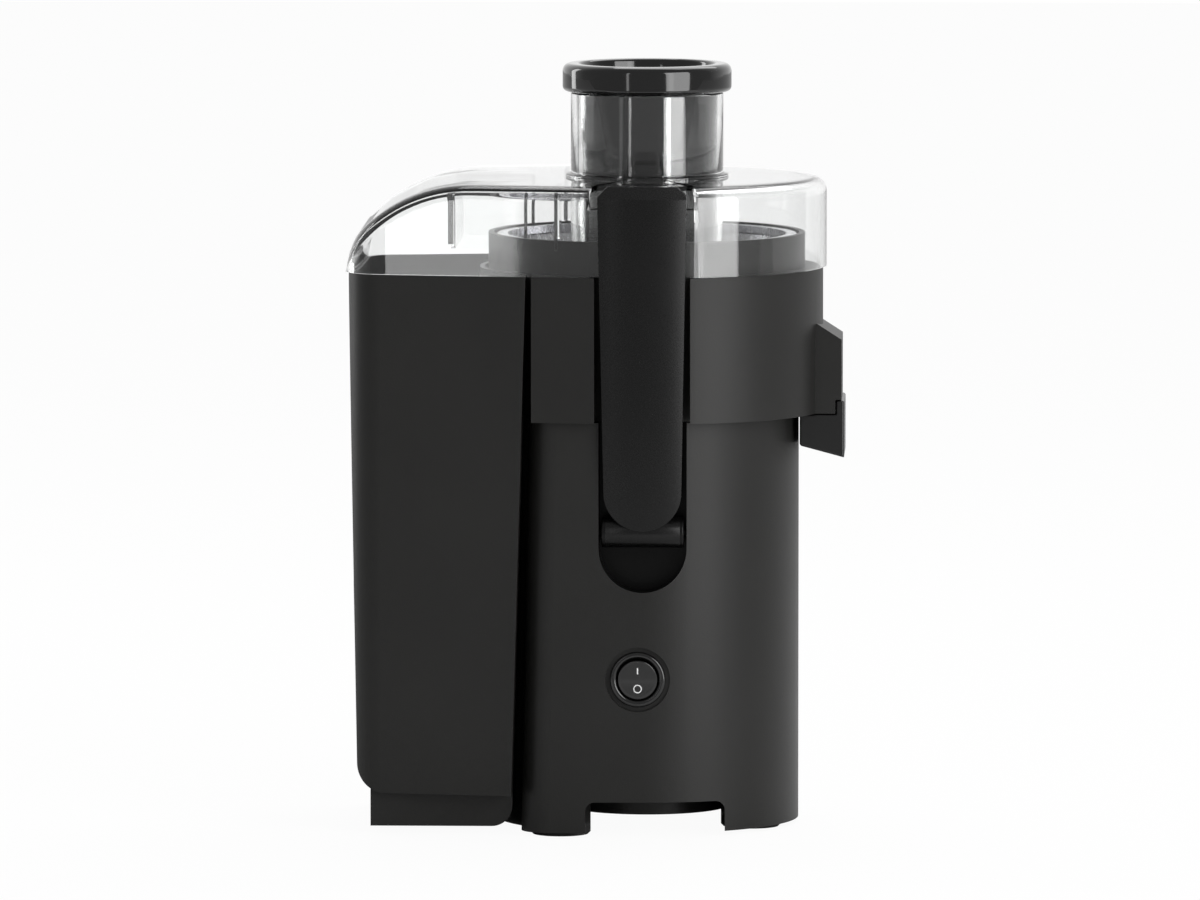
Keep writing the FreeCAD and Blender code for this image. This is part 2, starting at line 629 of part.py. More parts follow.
arch = [("-arch_rear", "0"), ("arch_front", "0"), ("arch_front", "arch_top - arch_corner"),
        ("arc", "arch_front - arch_corner", "arch_top - arch_corner", "left"),
        ("arch_front - arch_corner", "arch_top"), ("arch_corner - arch_rear", "arch_top"),
        ("arc", "arch_corner - arch_rear", "arch_top - arch_corner", "left"),
        ("-arch_rear", "arch_top - arch_corner")]
base_cuts.append(prism("arch_cut", "XZ", "-(base_radius + base_wall)", "base_radius + base_wall", arch))
base_solid = joined("base_solid", [base_shell, base_inside, spigot, tongue])
node("base_housing", less("base_housing_form", base_solid, joined("base_cuts", base_cuts)))

# Bottom cover with a slotted vent boss and a boss over each foot
cover = new_body("cover_body")
COVER_TOP = "cover_level + cover_wall"
COVER_HALF = "base_radius - base_wall - move_gap"
COVER_REAR = ("-(shoulder_low - (shoulder_low - shoulder_high) / (base_top - rim_height)"
              " * (cover_level + cover_wall - rim_height) - base_wall - move_gap)")
pad(cover, "XY", "cover_level", COVER_TOP, ("circle", "0", "0", COVER_HALF))
pad(cover, "XY", "cover_level", COVER_TOP, block(COVER_REAR, "-(%s)" % COVER_HALF, "0", COVER_HALF))
cover_rear = number(COVER_REAR) + 0.5
round_edges(cover, "shoulder_corner - base_wall", lambda edge, middle: middle.x < cover_rear
            and abs(edge.tangentAt(edge.FirstParameter).z) > 0.9)
pad(cover, "XY", "vent_low", COVER_TOP, ("circle", "0", "0", "vent_radius"))
pocket(cover, "XY", "vent_low + vent_wall", COVER_TOP + " + 1",
       ("circle", "0", "0", "vent_radius - vent_wall"))
slot = pocket(cover, "XY", "vent_low - 1", "vent_low + vent_wall + 1",
              block("vent_slot_in", "-vent_slot_half", "vent_slot_out", "vent_slot_half"))
ring_of(cover, [slot], "vent_slots")
FEET = [("front_near", "foot_front_x", "-foot_front_y"), ("front_far", "foot_front_x", "foot_front_y"),
        ("rear_near", "-foot_rear_x", "-foot_rear_y"), ("rear_far", "-foot_rear_x", "foot_rear_y")]
pad(cover, "XY", "foot_height", COVER_TOP, *[("circle", x, y, "foot_radius") for name, x, y in FEET])
pocket(cover, "XY", "foot_height - 1", "foot_height + foot_stem_height + move_gap",
       *[("circle", x, y, "foot_stem + fit_gap") for name, x, y in FEET])
node("bottom_cover", cover)

# Rubber feet with stems pressed into the cover
for name, x, y in FEET:
    foot = new_body("foot_body_" + name)
    turn(foot, [("0", "0"), ("foot_radius - foot_edge", "0"), ("foot_radius", "foot_edge"),
                ("foot_radius", "foot_height"), ("foot_stem", "foot_height"),
                ("foot_stem", "foot_height + foot_stem_height"), ("0", "foot_height + foot_stem_height")])
    node("foot_" + name, foot)
    foot.setExpression("Placement.Base.x", tied("%s + %s" % (AXIS_X, x)))
    foot.setExpression("Placement.Base.y", tied(y))

# Stator: stack with two pole shoes facing fore and aft
STATOR_TOP = "stator_low + stator_stack"
stator_frame = prism("stator_frame", "XY", "stator_low", STATOR_TOP,
                     block("-stator_half", "-stator_half", "stator_half", "stator_half"),
                     ("circle", "0", "0", "window_radius"))
stator_edge = number("stator_half") - 0.5
round_edges(stator_frame, "stator_corner", lambda edge, middle: abs(middle.x) > stator_edge
            and abs(middle.y) > stator_edge and abs(edge.tangentAt(edge.FirstParameter).z) > 0.9)
pole_bar = prism("pole_bar", "XY", "stator_low", STATOR_TOP,
                 block("-(window_radius + 1)", "-pole_half", "window_radius + 1", "pole_half"))
pole_bore = prism("pole_bore", "XY", "stator_low - 1", STATOR_TOP + " + 1",
                  ("circle", "0", "0", "pole_radius"))
node("motor_stator", less("stator_form", joined("stator_solid", [stator_frame, pole_bar]), pole_bore))

# Field coils through the two winding windows
for side, sign in SIDES:
    low, high = span(sign, "pole_half + coil_gap", "window_radius")
    ring = prism("coil_ring_" + side, "XY", "stator_low - coil_head", STATOR_TOP + " + coil_head",
                 ("circle", "0", "0", "window_radius - coil_gap"),
                 ("circle", "0", "0", "pole_radius + coil_gap"))
    keep = prism("coil_keep_" + side, "XZ", low, high,
                 block("-window_radius", "stator_low - coil_head",
                       "window_radius", STATOR_TOP + " + coil_head"))
    node("field_coil_" + side, shared("coil_form_" + side, ring, keep))

# Motor brackets with legs on the stator, and the bearings they hold
BRACKET_ENDS = (("-stator_half", "bracket_leg - stator_half"), ("stator_half - bracket_leg", "stator_half"))
upper = new_body("upper_bracket_body")
UPPER_TOP = "upper_bracket_level + bracket_wall"
ARM = "post_offset + post_radius"
pad(upper, "XY", "upper_bracket_level", UPPER_TOP,
    block("-stator_half", "-(%s)" % ARM, "stator_half", ARM))
for low, high in BRACKET_ENDS:
    pad(upper, "YZ", low, high, block("-bracket_half", STATOR_TOP, "bracket_half", UPPER_TOP))
pocket(upper, "XY", "upper_bracket_level - 1", UPPER_TOP + " + 1",
       ("circle", "0", "0", "bearing_radius + fit_gap"))
node("motor_upper_bracket", upper)
lower = new_body("lower_bracket_body")
LOWER_TOP = "lower_bracket_level + bracket_wall"
pad(lower, "XY", "lower_bracket_level", LOWER_TOP,
    block("-stator_half", "-bracket_half", "stator_half", "bracket_half"))
pad(lower, "XY", "lower_bracket_level", LOWER_TOP, ("circle", "0", "0", "bracket_hub"))
for low, high in BRACKET_ENDS:
    pad(lower, "YZ", low, high, block("-bracket_half", "lower_bracket_level", "bracket_half", "stator_low"))
BRUSH_SEAT = "commutator_radius + brush_gap + brush_over"
for low, high in (("-brush_end", "-(%s)" % BRUSH_SEAT), (BRUSH_SEAT, "brush_end")):
    pad(lower, "XY", "lower_bracket_level", "brush_low", block(low, "-brush_half", high, "brush_half"))
pocket(lower, "XY", "lower_bracket_level - 1", LOWER_TOP + " + 1",
       ("circle", "0", "0", "bearing_radius + fit_gap"))
node("motor_lower_bracket", lower)
for label, level in (("upper_bearing", "upper_bracket_level"), ("lower_bearing", "lower_bracket_level")):
    node(label, prism(label + "_body", "XY", level, level + " + bracket_wall",
                      ("circle", "0", "0", "bearing_radius"), ("circle", "0", "0", "shaft_radius + fit_gap")))

# Carbon brushes in their holders, fore and aft of the commutator
for label, low, high in (("brush_front", "commutator_radius + brush_gap", "brush_end"),
                         ("brush_rear", "-brush_end", "-(commutator_radius + brush_gap)")):
    node(label, prism(label + "_body", "YZ", low, high,
                      block("-brush_half", "brush_low", "brush_half", "brush_low + brush_height")))

# Shaft seal in the deck, cord gland in the wall, microswitches behind the latch pockets
seal = new_body("seal_body")
turn(seal, [("shaft_radius + 2 * fit_gap", "base_top - deck_wall"), ("seal_radius", "base_top - deck_wall"),
            ("seal_radius", "base_top"), ("seal_radius + base_wall", "base_top"),
            ("seal_radius + base_wall", "base_top + spigot_height / 2"),
            ("shaft_radius + 2 * fit_gap", "base_top + spigot_height / 2")])
node("shaft_seal", seal)
gland = new_body("gland_body")
pad(gland, "XZ", "base_radius - 2 * base_wall", "base_radius",
    ("circle", "gland_x", "gland_height", "gland_radius"))
pad(gland, "XZ", "base_radius", "base_radius + base_wall",
    ("circle", "gland_x", "gland_height", "gland_flange"))
pocket(gland, "XZ", "base_radius - 3 * base_wall", "base_radius + 2 * base_wall",
       ("circle", "gland_x", "gland_height", "gland_bore"))
node("cord_gland", gland)
for side, sign in SIDES:
    low, high = span(sign, "pocket_floor - pocket_wall - interlock_depth", "pocket_floor - pocket_wall")
    node("interlock_" + side, prism("interlock_body_" + side, "XZ", low, high,
                                    block("-interlock_half", "pivot_height + interlock_rise",
                                          "interlock_half",
                                          "pivot_height + interlock_rise + interlock_height")))
    node("latch_pin_" + side, prism("pin_body_" + side, "YZ", "-pin_half", "pin_half",
                                    ("circle", sign + "pivot_out", "pivot_height", "pin_radius")))

# Power switch: round bezel with its case, and the rocker in it
BEZEL_FACE = "switch_seat + bezel_proud"
bezel = new_body("bezel_body")
pad(bezel, "XZ", "-(%s)" % BEZEL_FACE, "-switch_seat",
    ("circle", "switch_x", "switch_height", "bezel_radius"))
pad(bezel, "XZ", "-switch_seat", "-(switch_seat - switch_case_depth)",
    ("circle", "switch_x", "switch_height", "switch_case_radius"))
pocket(bezel, "XZ", "-(%s + 1)" % BEZEL_FACE, "-(%s - 2 * rocker_depth)" % BEZEL_FACE,
       ("circle", "switch_x", "switch_height", "rocker_radius + rocker_gap"))
TRUNNION_Y = "-(%s - trunnion_sink)" % BEZEL_FACE
TRUNNION_HALF = "(rocker_radius + trunnion_reach)"
pocket(bezel, "YZ", "switch_x - %s - move_gap" % TRUNNION_HALF, "switch_x + %s + move_gap" % TRUNNION_HALF,
       ("circle", TRUNNION_Y, "switch_height", "trunnion_radius + fit_gap"))
node("switch_bezel", bezel)
ROCKER_BACK = "-(%s - rocker_depth)" % BEZEL_FACE
ROCKER_FACE = "-(%s)" % BEZEL_FACE
ROCKER_TIP = "-(%s + rocker_radius * tan(rocker_tilt))" % BEZEL_FACE
rocker_side = prism("rocker_side", "YZ", "switch_x - rocker_radius", "switch_x + rocker_radius",
                    [(ROCKER_BACK, "switch_height - rocker_radius"),
                     (ROCKER_BACK, "switch_height + rocker_radius"),
                     (ROCKER_TIP, "switch_height + rocker_radius"), (ROCKER_FACE, "switch_height"),
                     (ROCKER_FACE, "switch_height - rocker_radius")])
rocker_disc = prism("rocker_disc", "XZ", "-(%s + rocker_radius)" % BEZEL_FACE, ROCKER_BACK,
                    ("circle", "switch_x", "switch_height", "rocker_radius"))
trunnion = prism("trunnion", "YZ", "switch_x - " + TRUNNION_HALF, "switch_x + " + TRUNNION_HALF,
                 ("circle", TRUNNION_Y, "switch_height", "trunnion_radius"))
node("rocker_button", joined("rocker_form", [shared("rocker_paddle", rocker_side, rocker_disc), trunnion]))

# Rotor: shaft, slotted armature, winding heads, commutator, fan and drive coupling
node("motor_shaft", prism("shaft_body", "XY", "shaft_low", "shaft_top", ("circle", "0", "0", "shaft_radius")))
core = new_body("core_body")
pad(core, "XY", "stator_low", STATOR_TOP, ("circle", "0", "0", "pole_radius - air_gap"),
    ("circle", "0", "0", "shaft_radius"))
notch = pocket(core, "XY", "stator_low - 1", STATOR_TOP + " + 1",
               block("pole_radius - air_gap - slot_depth", "-slot_half", "pole_radius + 1", "slot_half"))
ring_of(core, [notch], "slot_count")
node("armature_core", core)
for label, low, high in (("winding_upper", STATOR_TOP, STATOR_TOP + " + winding_head"),
                         ("winding_lower", "stator_low - winding_head", "stator_low")):
    winding = new_body(label + "_body")
    turn(winding, [("shaft_radius", low), ("winding_radius", low), ("winding_radius", high),
                   ("shaft_radius", high)])
    limit = number("winding_radius") - 0.5
    outside = number(high if label == "winding_upper" else low)
    round_edges(winding, "winding_head / 3", lambda edge, middle: abs(middle.z - outside) < 0.01
                and math.hypot(middle.x, middle.y) > limit)
    node(label, winding)
node("commutator", prism("commutator_body", "XY", "commutator_low", "commutator_low + commutator_length",
                         ("circle", "0", "0", "commutator_radius"), ("circle", "0", "0", "shaft_radius")))
fan = new_body("fan_body")
pad(fan, "XY", "fan_low", "fan_low + fan_plate", ("circle", "0", "0", "fan_radius"),
    ("circle", "0", "0", "shaft_radius"))
blade = pad(fan, "XY", "fan_low", "fan_low + fan_height",
            block("shaft_radius + fan_hub / 2", "-fan_plate / 2", "fan_radius - fan_rim", "fan_plate / 2"))
ring_of(fan, [blade], "fan_blades")
pad(fan, "XY", "fan_low", "fan_low + fan_height", ("circle", "0", "0", "shaft_radius + fan_hub"),
    ("circle", "0", "0", "shaft_radius"))
node("cooling_fan", fan)


def hexagon(half):
    """Hexagon loop from its half width over flats."""
    return [("(%s) / cos(30) * cos(%d)" % (half, angle), "(%s) / cos(30) * sin(%d)" % (half, angle))
            for angle in range(15, 375, 60)]


drive = new_body("drive_body")
pad(drive, "XY", "drive_low", "drive_top", hexagon("drive_half"), ("circle", "0", "0", "shaft_radius"))
node("drive_coupling", drive)

# Basket: grater disc with rings of teeth, slotted conical sieve, rim ring and hub
disc = new_body("disc_body")
pad(disc, "XY", "disc_level", "disc_level + disc_wall", ("circle", "0", "0", "disc_radius"),
    ("circle", "0", "0", "shaft_radius"))
doc.recompute()
DISC_TOP = "disc_level + disc_wall"
for place in range(5):
    reach = "disc_radius - %d * (tooth_length + tooth_gap) - tooth_length / 2 - tooth_edge" % place
    lean = 24 * (place % 2) / 2.0
    tooth = disc.newObject("PartDesign::AdditiveLoft", "tooth_%d" % place)
    foot_loop = []
    for along, across in (("-1", "-1"), ("1", "-1"), ("1", "1"), ("-1", "1")):
        a = "(%s) + (%s) * tooth_length / 2" % (reach, along)
        b = "(%s) * tooth_half" % across
        foot_loop.append(("(%s) * cos(%s) - (%s) * sin(%s)" % (a, lean, b, lean),
                          "(%s) * sin(%s) + (%s) * cos(%s)" % (a, lean, b, lean)))
    tip_loop = []
    for along, across in (("-0.75", "0.7"), ("0.75", "0.7"), ("0.75", "1"), ("-0.75", "1")):
        a = "(%s) + (%s) * tooth_length / 2" % (reach, along)
        b = "(%s) * tooth_half" % across
        tip_loop.append(("(%s) * cos(%s) - (%s) * sin(%s)" % (a, lean, b, lean),
                         "(%s) * sin(%s) + (%s) * cos(%s)" % (a, lean, b, lean)))
    tooth.Profile = new_sketch(disc, "XY", DISC_TOP, [foot_loop])
    tooth.Sections = [new_sketch(disc, "XY", DISC_TOP + " + tooth_height", [tip_loop])]
    tooth.Ruled = True
    disc.Tip = tooth
    ring_of(disc, [tooth], "tooth_count")
node("grater_disc", disc)
sieve = new_body("sieve_body")
turn(sieve, [("disc_radius + move_gap", "disc_level"), ("disc_radius + move_gap + sieve_wall", "disc_level"),
             ("sieve_top_radius", "sieve_top"), ("sieve_top_radius - sieve_wall", "sieve_top")])
SIEVE_RISE = "(sieve_top - disc_level)"
for low, high in (("0.14", "0.46"), ("0.56", "0.88")):
    opening = pocket(sieve, "YZ", "disc_radius - 1", "sieve_top_radius + 1",
                     block("-sieve_slot_half", "disc_level + %s * %s" % (low, SIEVE_RISE),
                           "sieve_slot_half", "disc_level + %s * %s" % (high, SIEVE_RISE)))
    ring_of(sieve, [opening], "sieve_slots")
node("sieve", sieve)
rim = new_body("rim_body")
RIM_IN = "sieve_top_radius - sieve_wall - rim_over"
turn(rim, [(RIM_IN, "sieve_top"), ("rim_radius", "sieve_top"), ("rim_radius", "sieve_top + rim_depth"),
           (RIM_IN, "sieve_top + rim_depth")])
node("basket_rim", rim)
hub = new_body("hub_body")
HUB_TOP = "drive_top + drive_gap"
turn(hub, [("0", "hub_low"), ("hub_radius", "hub_low"), ("disc_radius - hub_lip", "disc_level - hub_plate"),
           ("disc_radius + move_gap", "disc_level - hub_plate"), ("disc_radius + move_gap", "disc_level"),
           ("0", "disc_level")])
pocket(hub, "XY", "hub_low - 1", HUB_TOP, hexagon("drive_half + drive_gap"))
pocket(hub, "XY", "hub_low - 1", HUB_TOP, ("circle", "0", "0", "drive_half"))
node("basket_hub", hub)

# Teardrop outline of the lid, bowl and bin: round front, straight sides closing towards the rear
SIN = "sin(plan_taper)"
COS = "cos(plan_taper)"


def half_width(radius, x):
    """Half width of the teardrop at a place along X."""
    return "((%s) + (%s) * %s) / %s" % (radius, x, SIN, COS)


def teardrop(radius, rear):
    """Teardrop loop cut square at the rear."""
    touch_x = "-(%s) * %s" % (radius, SIN)
    touch_y = "(%s) * %s" % (radius, COS)
    rear_y = half_width(radius, rear)
    return [(touch_x, "-" + touch_y), ("arc", "0", "0", "left"), (touch_x, touch_y), (rear, rear_y),
            (rear, "-(%s)" % rear_y)]


# Bowl: skirt and ledge, latch channels, juice chamber ring, spout hood
BOWL_R = "lid_radius - bowl_inset"
BOWL_LOW = "base_top + move_gap"
skirt = new_body("skirt_body")
pad(skirt, "XY", BOWL_LOW, "bowl_top", teardrop(BOWL_R, "-bowl_rear"))
pocket(skirt, "XY", BOWL_LOW + " - 1", "bowl_top - bowl_wall",
       teardrop(BOWL_R + " - bowl_wall", "bowl_wall - bowl_rear"))
for side, sign in SIDES:
    low, high = span(sign, "throat_radius - 1", BOWL_R + " + 1")
    pocket(skirt, "XZ", low, high, block("-channel_half", BOWL_LOW + " - 1", "channel_half", "bowl_top + 1"))
walls = []
for side, sign in SIDES:
    for edge_low, edge_high in (("channel_half", "channel_half + bowl_wall"),
                                ("-(channel_half + bowl_wall)", "-channel_half")):
        walls.append(prism("channel_wall", "XZ", *span(sign, "throat_radius", BOWL_R + " - 0.3"),
                           block(edge_low, BOWL_LOW, edge_high, "bowl_top")))
skirt_limit = prism("skirt_limit", "XY", BOWL_LOW, "bowl_top", teardrop(BOWL_R, "-bowl_rear"))
channel_walls = shared("channel_walls", skirt_limit, joined("channel_wall_set", walls))
hood_loop = [("hood_back", BOWL_LOW), ("hood_step", BOWL_LOW), ("hood_step", "hood_step_height"),
             ("hood_front", "hood_step_height"), ("hood_front", "hood_top"), ("hood_root_x", "hood_root"),
             ("hood_back", "hood_root")]
hood = prism("hood", "XZ", "-hood_half", "hood_half", hood_loop)
chamber = prism("chamber", "XY", BOWL_LOW + " - 1", "ring_top + 1",
                ("circle", "0", "0", "ring_radius - bowl_wall / 2"))
bowl_skin = less("bowl_skin", joined("bowl_outside", [skirt, channel_walls]), chamber)
FLOOR_TOP = "bowl_floor + bowl_wall"
ring = new_body("ring_body")
turn(ring, [("throat_radius - bowl_wall", BOWL_LOW), ("throat_radius", BOWL_LOW),
            ("throat_radius", "throat_top"), ("ring_radius", "ring_straight"), ("ring_radius", "ring_top"),
            ("ring_radius - bowl_wall", "ring_top"),
            ("ring_radius - bowl_wall", "ring_straight"), ("throat_radius - bowl_wall", "throat_top"),
            ("throat_radius - bowl_wall", FLOOR_TOP), ("tube_radius", FLOOR_TOP), ("tube_radius", "tube_top"),
            ("tube_radius - bowl_wall", "tube_top"), ("tube_radius - bowl_wall", "bowl_floor"),
            ("throat_radius - bowl_wall", "bowl_floor")])
duct = prism("duct", "XZ", "-(hood_half - hood_wall)", "hood_half - hood_wall",
             [("throat_radius + 0.4", BOWL_LOW + " - 1"), ("hood_step - hood_wall", BOWL_LOW + " - 1"),
              ("hood_step - hood_wall", "hood_top - hood_wall"), ("hood_root_x", "hood_root - 2 * hood_wall"),
              ("throat_radius + 0.4", "hood_root - 2 * hood_wall")])
outlet = prism("outlet", "YZ", "throat_radius - 2 * bowl_wall - 6", "throat_radius + 6",
               block("-outlet_half", FLOOR_TOP, "outlet_half", "outlet_top"))
bowl_body = joined("bowl_body", [bowl_skin, hood])
bowl_hollow = less("bowl_hollow", bowl_body, duct)
node("juice_bowl", less("bowl_form", joined("bowl_solid", [bowl_hollow, ring]), outlet))

# Spout nozzle plugged into the hood from below
PLUG_FRONT = "hood_step - hood_wall - move_gap"
PLUG_HALF = "hood_half - hood_wall - move_gap"
NECK = "base_top"
nozzle = new_body("nozzle_body")
pad(nozzle, "XZ", "-hood_half", "hood_half",
    [("nozzle_back", NECK), ("nozzle_back", "nozzle_low_back"), ("front_reach", "nozzle_low_front"),
     ("front_reach", "hood_step_height - move_gap"), ("hood_step + move_gap", "hood_step_height - move_gap"),
     ("hood_step + move_gap", NECK)])
pad(nozzle, "XY", NECK, NECK + " + nozzle_plug",
    block("nozzle_back", "-(%s)" % PLUG_HALF, PLUG_FRONT, PLUG_HALF))
pocket(nozzle, "XY", "nozzle_low_front - 1", NECK + " + nozzle_plug + 1",
       block("nozzle_back + nozzle_wall", "-(%s - nozzle_wall)" % PLUG_HALF, PLUG_FRONT + " - nozzle_wall",
             PLUG_HALF + " - nozzle_wall"))
node("spout_nozzle", nozzle)

# Lid: clear cover over bowl and bin, with its feed chute, latch notches and deflector fins
DROP = "(lid_top - lid_rim)"
FLAT_X = "-(rear_reach - lid_flat)"
LONG_R = ("((lid_flat ^ 2 + %s ^ 2 - 2 * lid_flat * lid_rear_radius) / (2 * (%s - lid_rear_radius)))"
          % (DROP, DROP))
LONG_Z = "(lid_top - %s)" % LONG_R
BACK_X = "(lid_rear_radius - rear_reach)"
TURN_X = "((%s - (%s)) / (%s - lid_rear_radius))" % (BACK_X, FLAT_X, LONG_R)
TURN_Z = "((lid_rim - %s) / (%s - lid_rear_radius))" % (LONG_Z, LONG_R)


def lid_form(name, inset, low):
    """Lid outline, set in by a wall."""
    radius = "lid_radius - " + inset
    meet_x = "%s + (%s - %s) * %s" % (FLAT_X, LONG_R, inset, TURN_X)
    meet_z = "%s + (%s - %s) * %s" % (LONG_Z, LONG_R, inset, TURN_Z)
    rear = "-(rear_reach - %s)" % inset
    side = [("lid_radius + 1", low), ("lid_radius + 1", "lid_top - " + inset), (FLAT_X, "lid_top - " + inset),
            ("arc", FLAT_X, LONG_Z, "left"), (meet_x, meet_z), ("arc", BACK_X, "lid_rim", "left"),
            (rear, "lid_rim"), (rear, low)]
    if number(low) >= number("lid_rim"):
        side.pop()
    body = new_body(name)
    pad(body, "XZ", "-(lid_radius + 1)", "lid_radius + 1", side)
    plan = teardrop(radius, rear)
    sheet_half = "lid_radius + 2"
    pocket(body, "XY", "lid_rim - 5", "lid_top + 1",
           block("-(rear_reach + 2)", "-(%s)" % sheet_half, sheet_half, sheet_half), plan)
    level = number("lid_top - " + inset)
    flat_end = number(FLAT_X) + 1
    round_edges(body, "lid_edge - " + inset,
                lambda edge, middle: abs(middle.z - level) < 0.01 and middle.x > flat_end)
    return body


lid_outer = lid_form("lid_outer", "0", "lid_rim")
lid_inner = lid_form("lid_inner", "lid_wall", "lid_rim - 1")
lid_shell = less("lid_shell", lid_outer, lid_inner)
lid_inside = []
lid_cuts = []
NOTCH_IN = "notch_out - notch_wall"
for side, sign in SIDES:
    inner_y = sign + "(%s)" % NOTCH_IN
    outer_y = sign + "(lid_radius + 1)"
    ramp_y = sign + "(notch_out - (lid_top + 1 - notch_ramp))"
    liner_y = sign + "(%s - (lid_top + 1 - notch_ramp) - notch_wall / 2)" % NOTCH_IN
    liner_z = "notch_ramp - notch_wall / 2"
    lid_inside.append(prism("notch_liner_" + side, "YZ", "-(notch_half + notch_wall)",
                            "notch_half + notch_wall",
                            [(outer_y, "lid_rim"), (inner_y, "lid_rim"), (inner_y, liner_z),
                             (liner_y, "lid_top + 1"), (outer_y, "lid_top + 1")]))
    lid_cuts.append(prism("notch_cut_" + side, "YZ", "-notch_half", "notch_half",
                          [(outer_y, "lid_rim - 1"), (sign + "notch_out", "lid_rim - 1"),
                           (sign + "notch_out", "notch_ramp"), (ramp_y, "lid_top + 1"),
                           (outer_y, "lid_top + 1")]))
lid_inside.append(prism("fin", "YZ", "-fin_x", "fin_wall - fin_x",
                        block("-fin_half", "fin_low", "fin_half", "lid_top")))
for side, sign in SIDES:
    low, high = span(sign, "fin_half - fin_wall", "fin_half")
    lid_inside.append(prism("web_" + side, "XZ", low, high, block("-fin_x", "fin_low", "-web_x", "lid_top")))
    low, high = span(sign, "fin_half - fin_wall", "fin_half + guard_width")
    lid_inside.append(prism("guard_" + side, "XZ", low, high,
                            block("-guard_x", "guard_low", "fin_wall - guard_x", "lid_top")))
lid_fins = shared("lid_fins", lid_outer, joined("lid_inside", lid_inside))
chute = new_body("chute_body")
turn(chute, [("pusher_radius + pusher_gap", "chute_low"), ("chute_radius", "chute_low"),
             ("chute_radius", "lid_top"),
             ("chute_foot", "lid_top"), ("chute_foot", "lid_top + chute_foot_height"),
             ("chute_radius", "lid_top + chute_foot_height"), ("chute_radius", "chute_top"),
             ("pusher_radius + pusher_gap", "chute_top")])
chute_bore = prism("chute_bore", "XY", "lid_rim", "chute_top + 1",
                   ("circle", "0", "0", "pusher_radius + pusher_gap"))
lid_solid = joined("lid_solid", [lid_shell, lid_fins, chute])
node("lid", less("lid_cut", lid_solid, joined("lid_cuts", lid_cuts + [chute_bore])))

# Food pusher: closed cup with a wide rolled cap
pusher = new_body("pusher_body")
turn(pusher, [("0", "pusher_low"), ("pusher_radius", "pusher_low"), ("pusher_radius", "cap_low"),
              ("cap_radius", "cap_low"), ("cap_radius", "cap_top"),
              ("pusher_radius - pusher_wall", "cap_top"),
              ("pusher_radius - pusher_wall", "pusher_low + pusher_wall"), ("0", "pusher_low + pusher_wall")])
cap_edge = number("cap_radius") - 0.5
round_edges(pusher, "cap_edge", lambda edge, middle: math.hypot(middle.x, middle.y) > cap_edge
            and abs(edge.tangentAt(edge.FirstParameter).z) < 0.1)
node("food_pusher", pusher)

# Latch arms: tapered arm with a hooked nose over the lid and a hinge barrel at the foot
ARM_LOW_OUT = "(pivot_out + barrel_radius)"
ARM_LEAN = "((arm_top_out - %s) / (arm_top - arm_round - pivot_height))" % ARM_LOW_OUT


def arm_out(height):
    """Outer face of the arm at a height."""
    return "(%s + %s * (%s - pivot_height))" % (ARM_LOW_OUT, ARM_LEAN, height)


for side, sign in SIDES:
    nose_z = "notch_ramp + 1.4142 * nose_gap"
    inner_top = "(%s - arm_wall)" % arm_out("notch_ramp")
    arm_side = prism("arm_side_" + side, "YZ", "-arm_top_half", "arm_top_half",
                     [(sign + ARM_LOW_OUT, "pivot_height"), (sign + "(arm_top_out)", "arm_top - arm_round"),
                      (sign + "(arm_top_out - arm_round)", "arm_top"), (sign + "nose_in", "arm_top"),
                      (sign + "nose_in", "%s + notch_out - nose_in" % nose_z),
                      (sign + inner_top, "%s + notch_out - %s" % (nose_z, inner_top)),
                      (sign + "(%s - arm_wall)" % ARM_LOW_OUT, "pivot_height")])
    middle = "arm_low + arm_low_half"
    front = [("-arm_top_half", "arm_top - arm_corner"), ("-arm_low_half", middle),
             ("arc", "0", middle, "left"),
             ("arm_low_half", middle), ("arm_top_half", "arm_top - arm_corner"),
             ("arm_top_half - arm_corner", "arm_top"), ("arm_corner - arm_top_half", "arm_top")]
    arm_front = prism("arm_front_" + side, "XZ", *span(sign, "pocket_floor", "arm_top_out + 1"), front)
    barrel = prism("barrel_" + side, "YZ", "-barrel_half", "barrel_half",
                   ("circle", sign + "pivot_out", "pivot_height", "barrel_radius"))
    bore = prism("barrel_bore_" + side, "YZ", "-(arm_top_half + 1)", "arm_top_half + 1",
                 ("circle", sign + "pivot_out", "pivot_height", "pin_radius + fit_gap"))
    blank = joined("arm_blank_" + side, [shared("arm_plate_" + side, arm_front, arm_side), barrel])
    node("latch_arm_" + side, less("arm_form_" + side, blank, bore))

# Pulp bin: drafted bucket with a hollow front round the bowl, a plinth and a rear grip pad
BIN_RISE = "(bowl_top - bin_floor)"


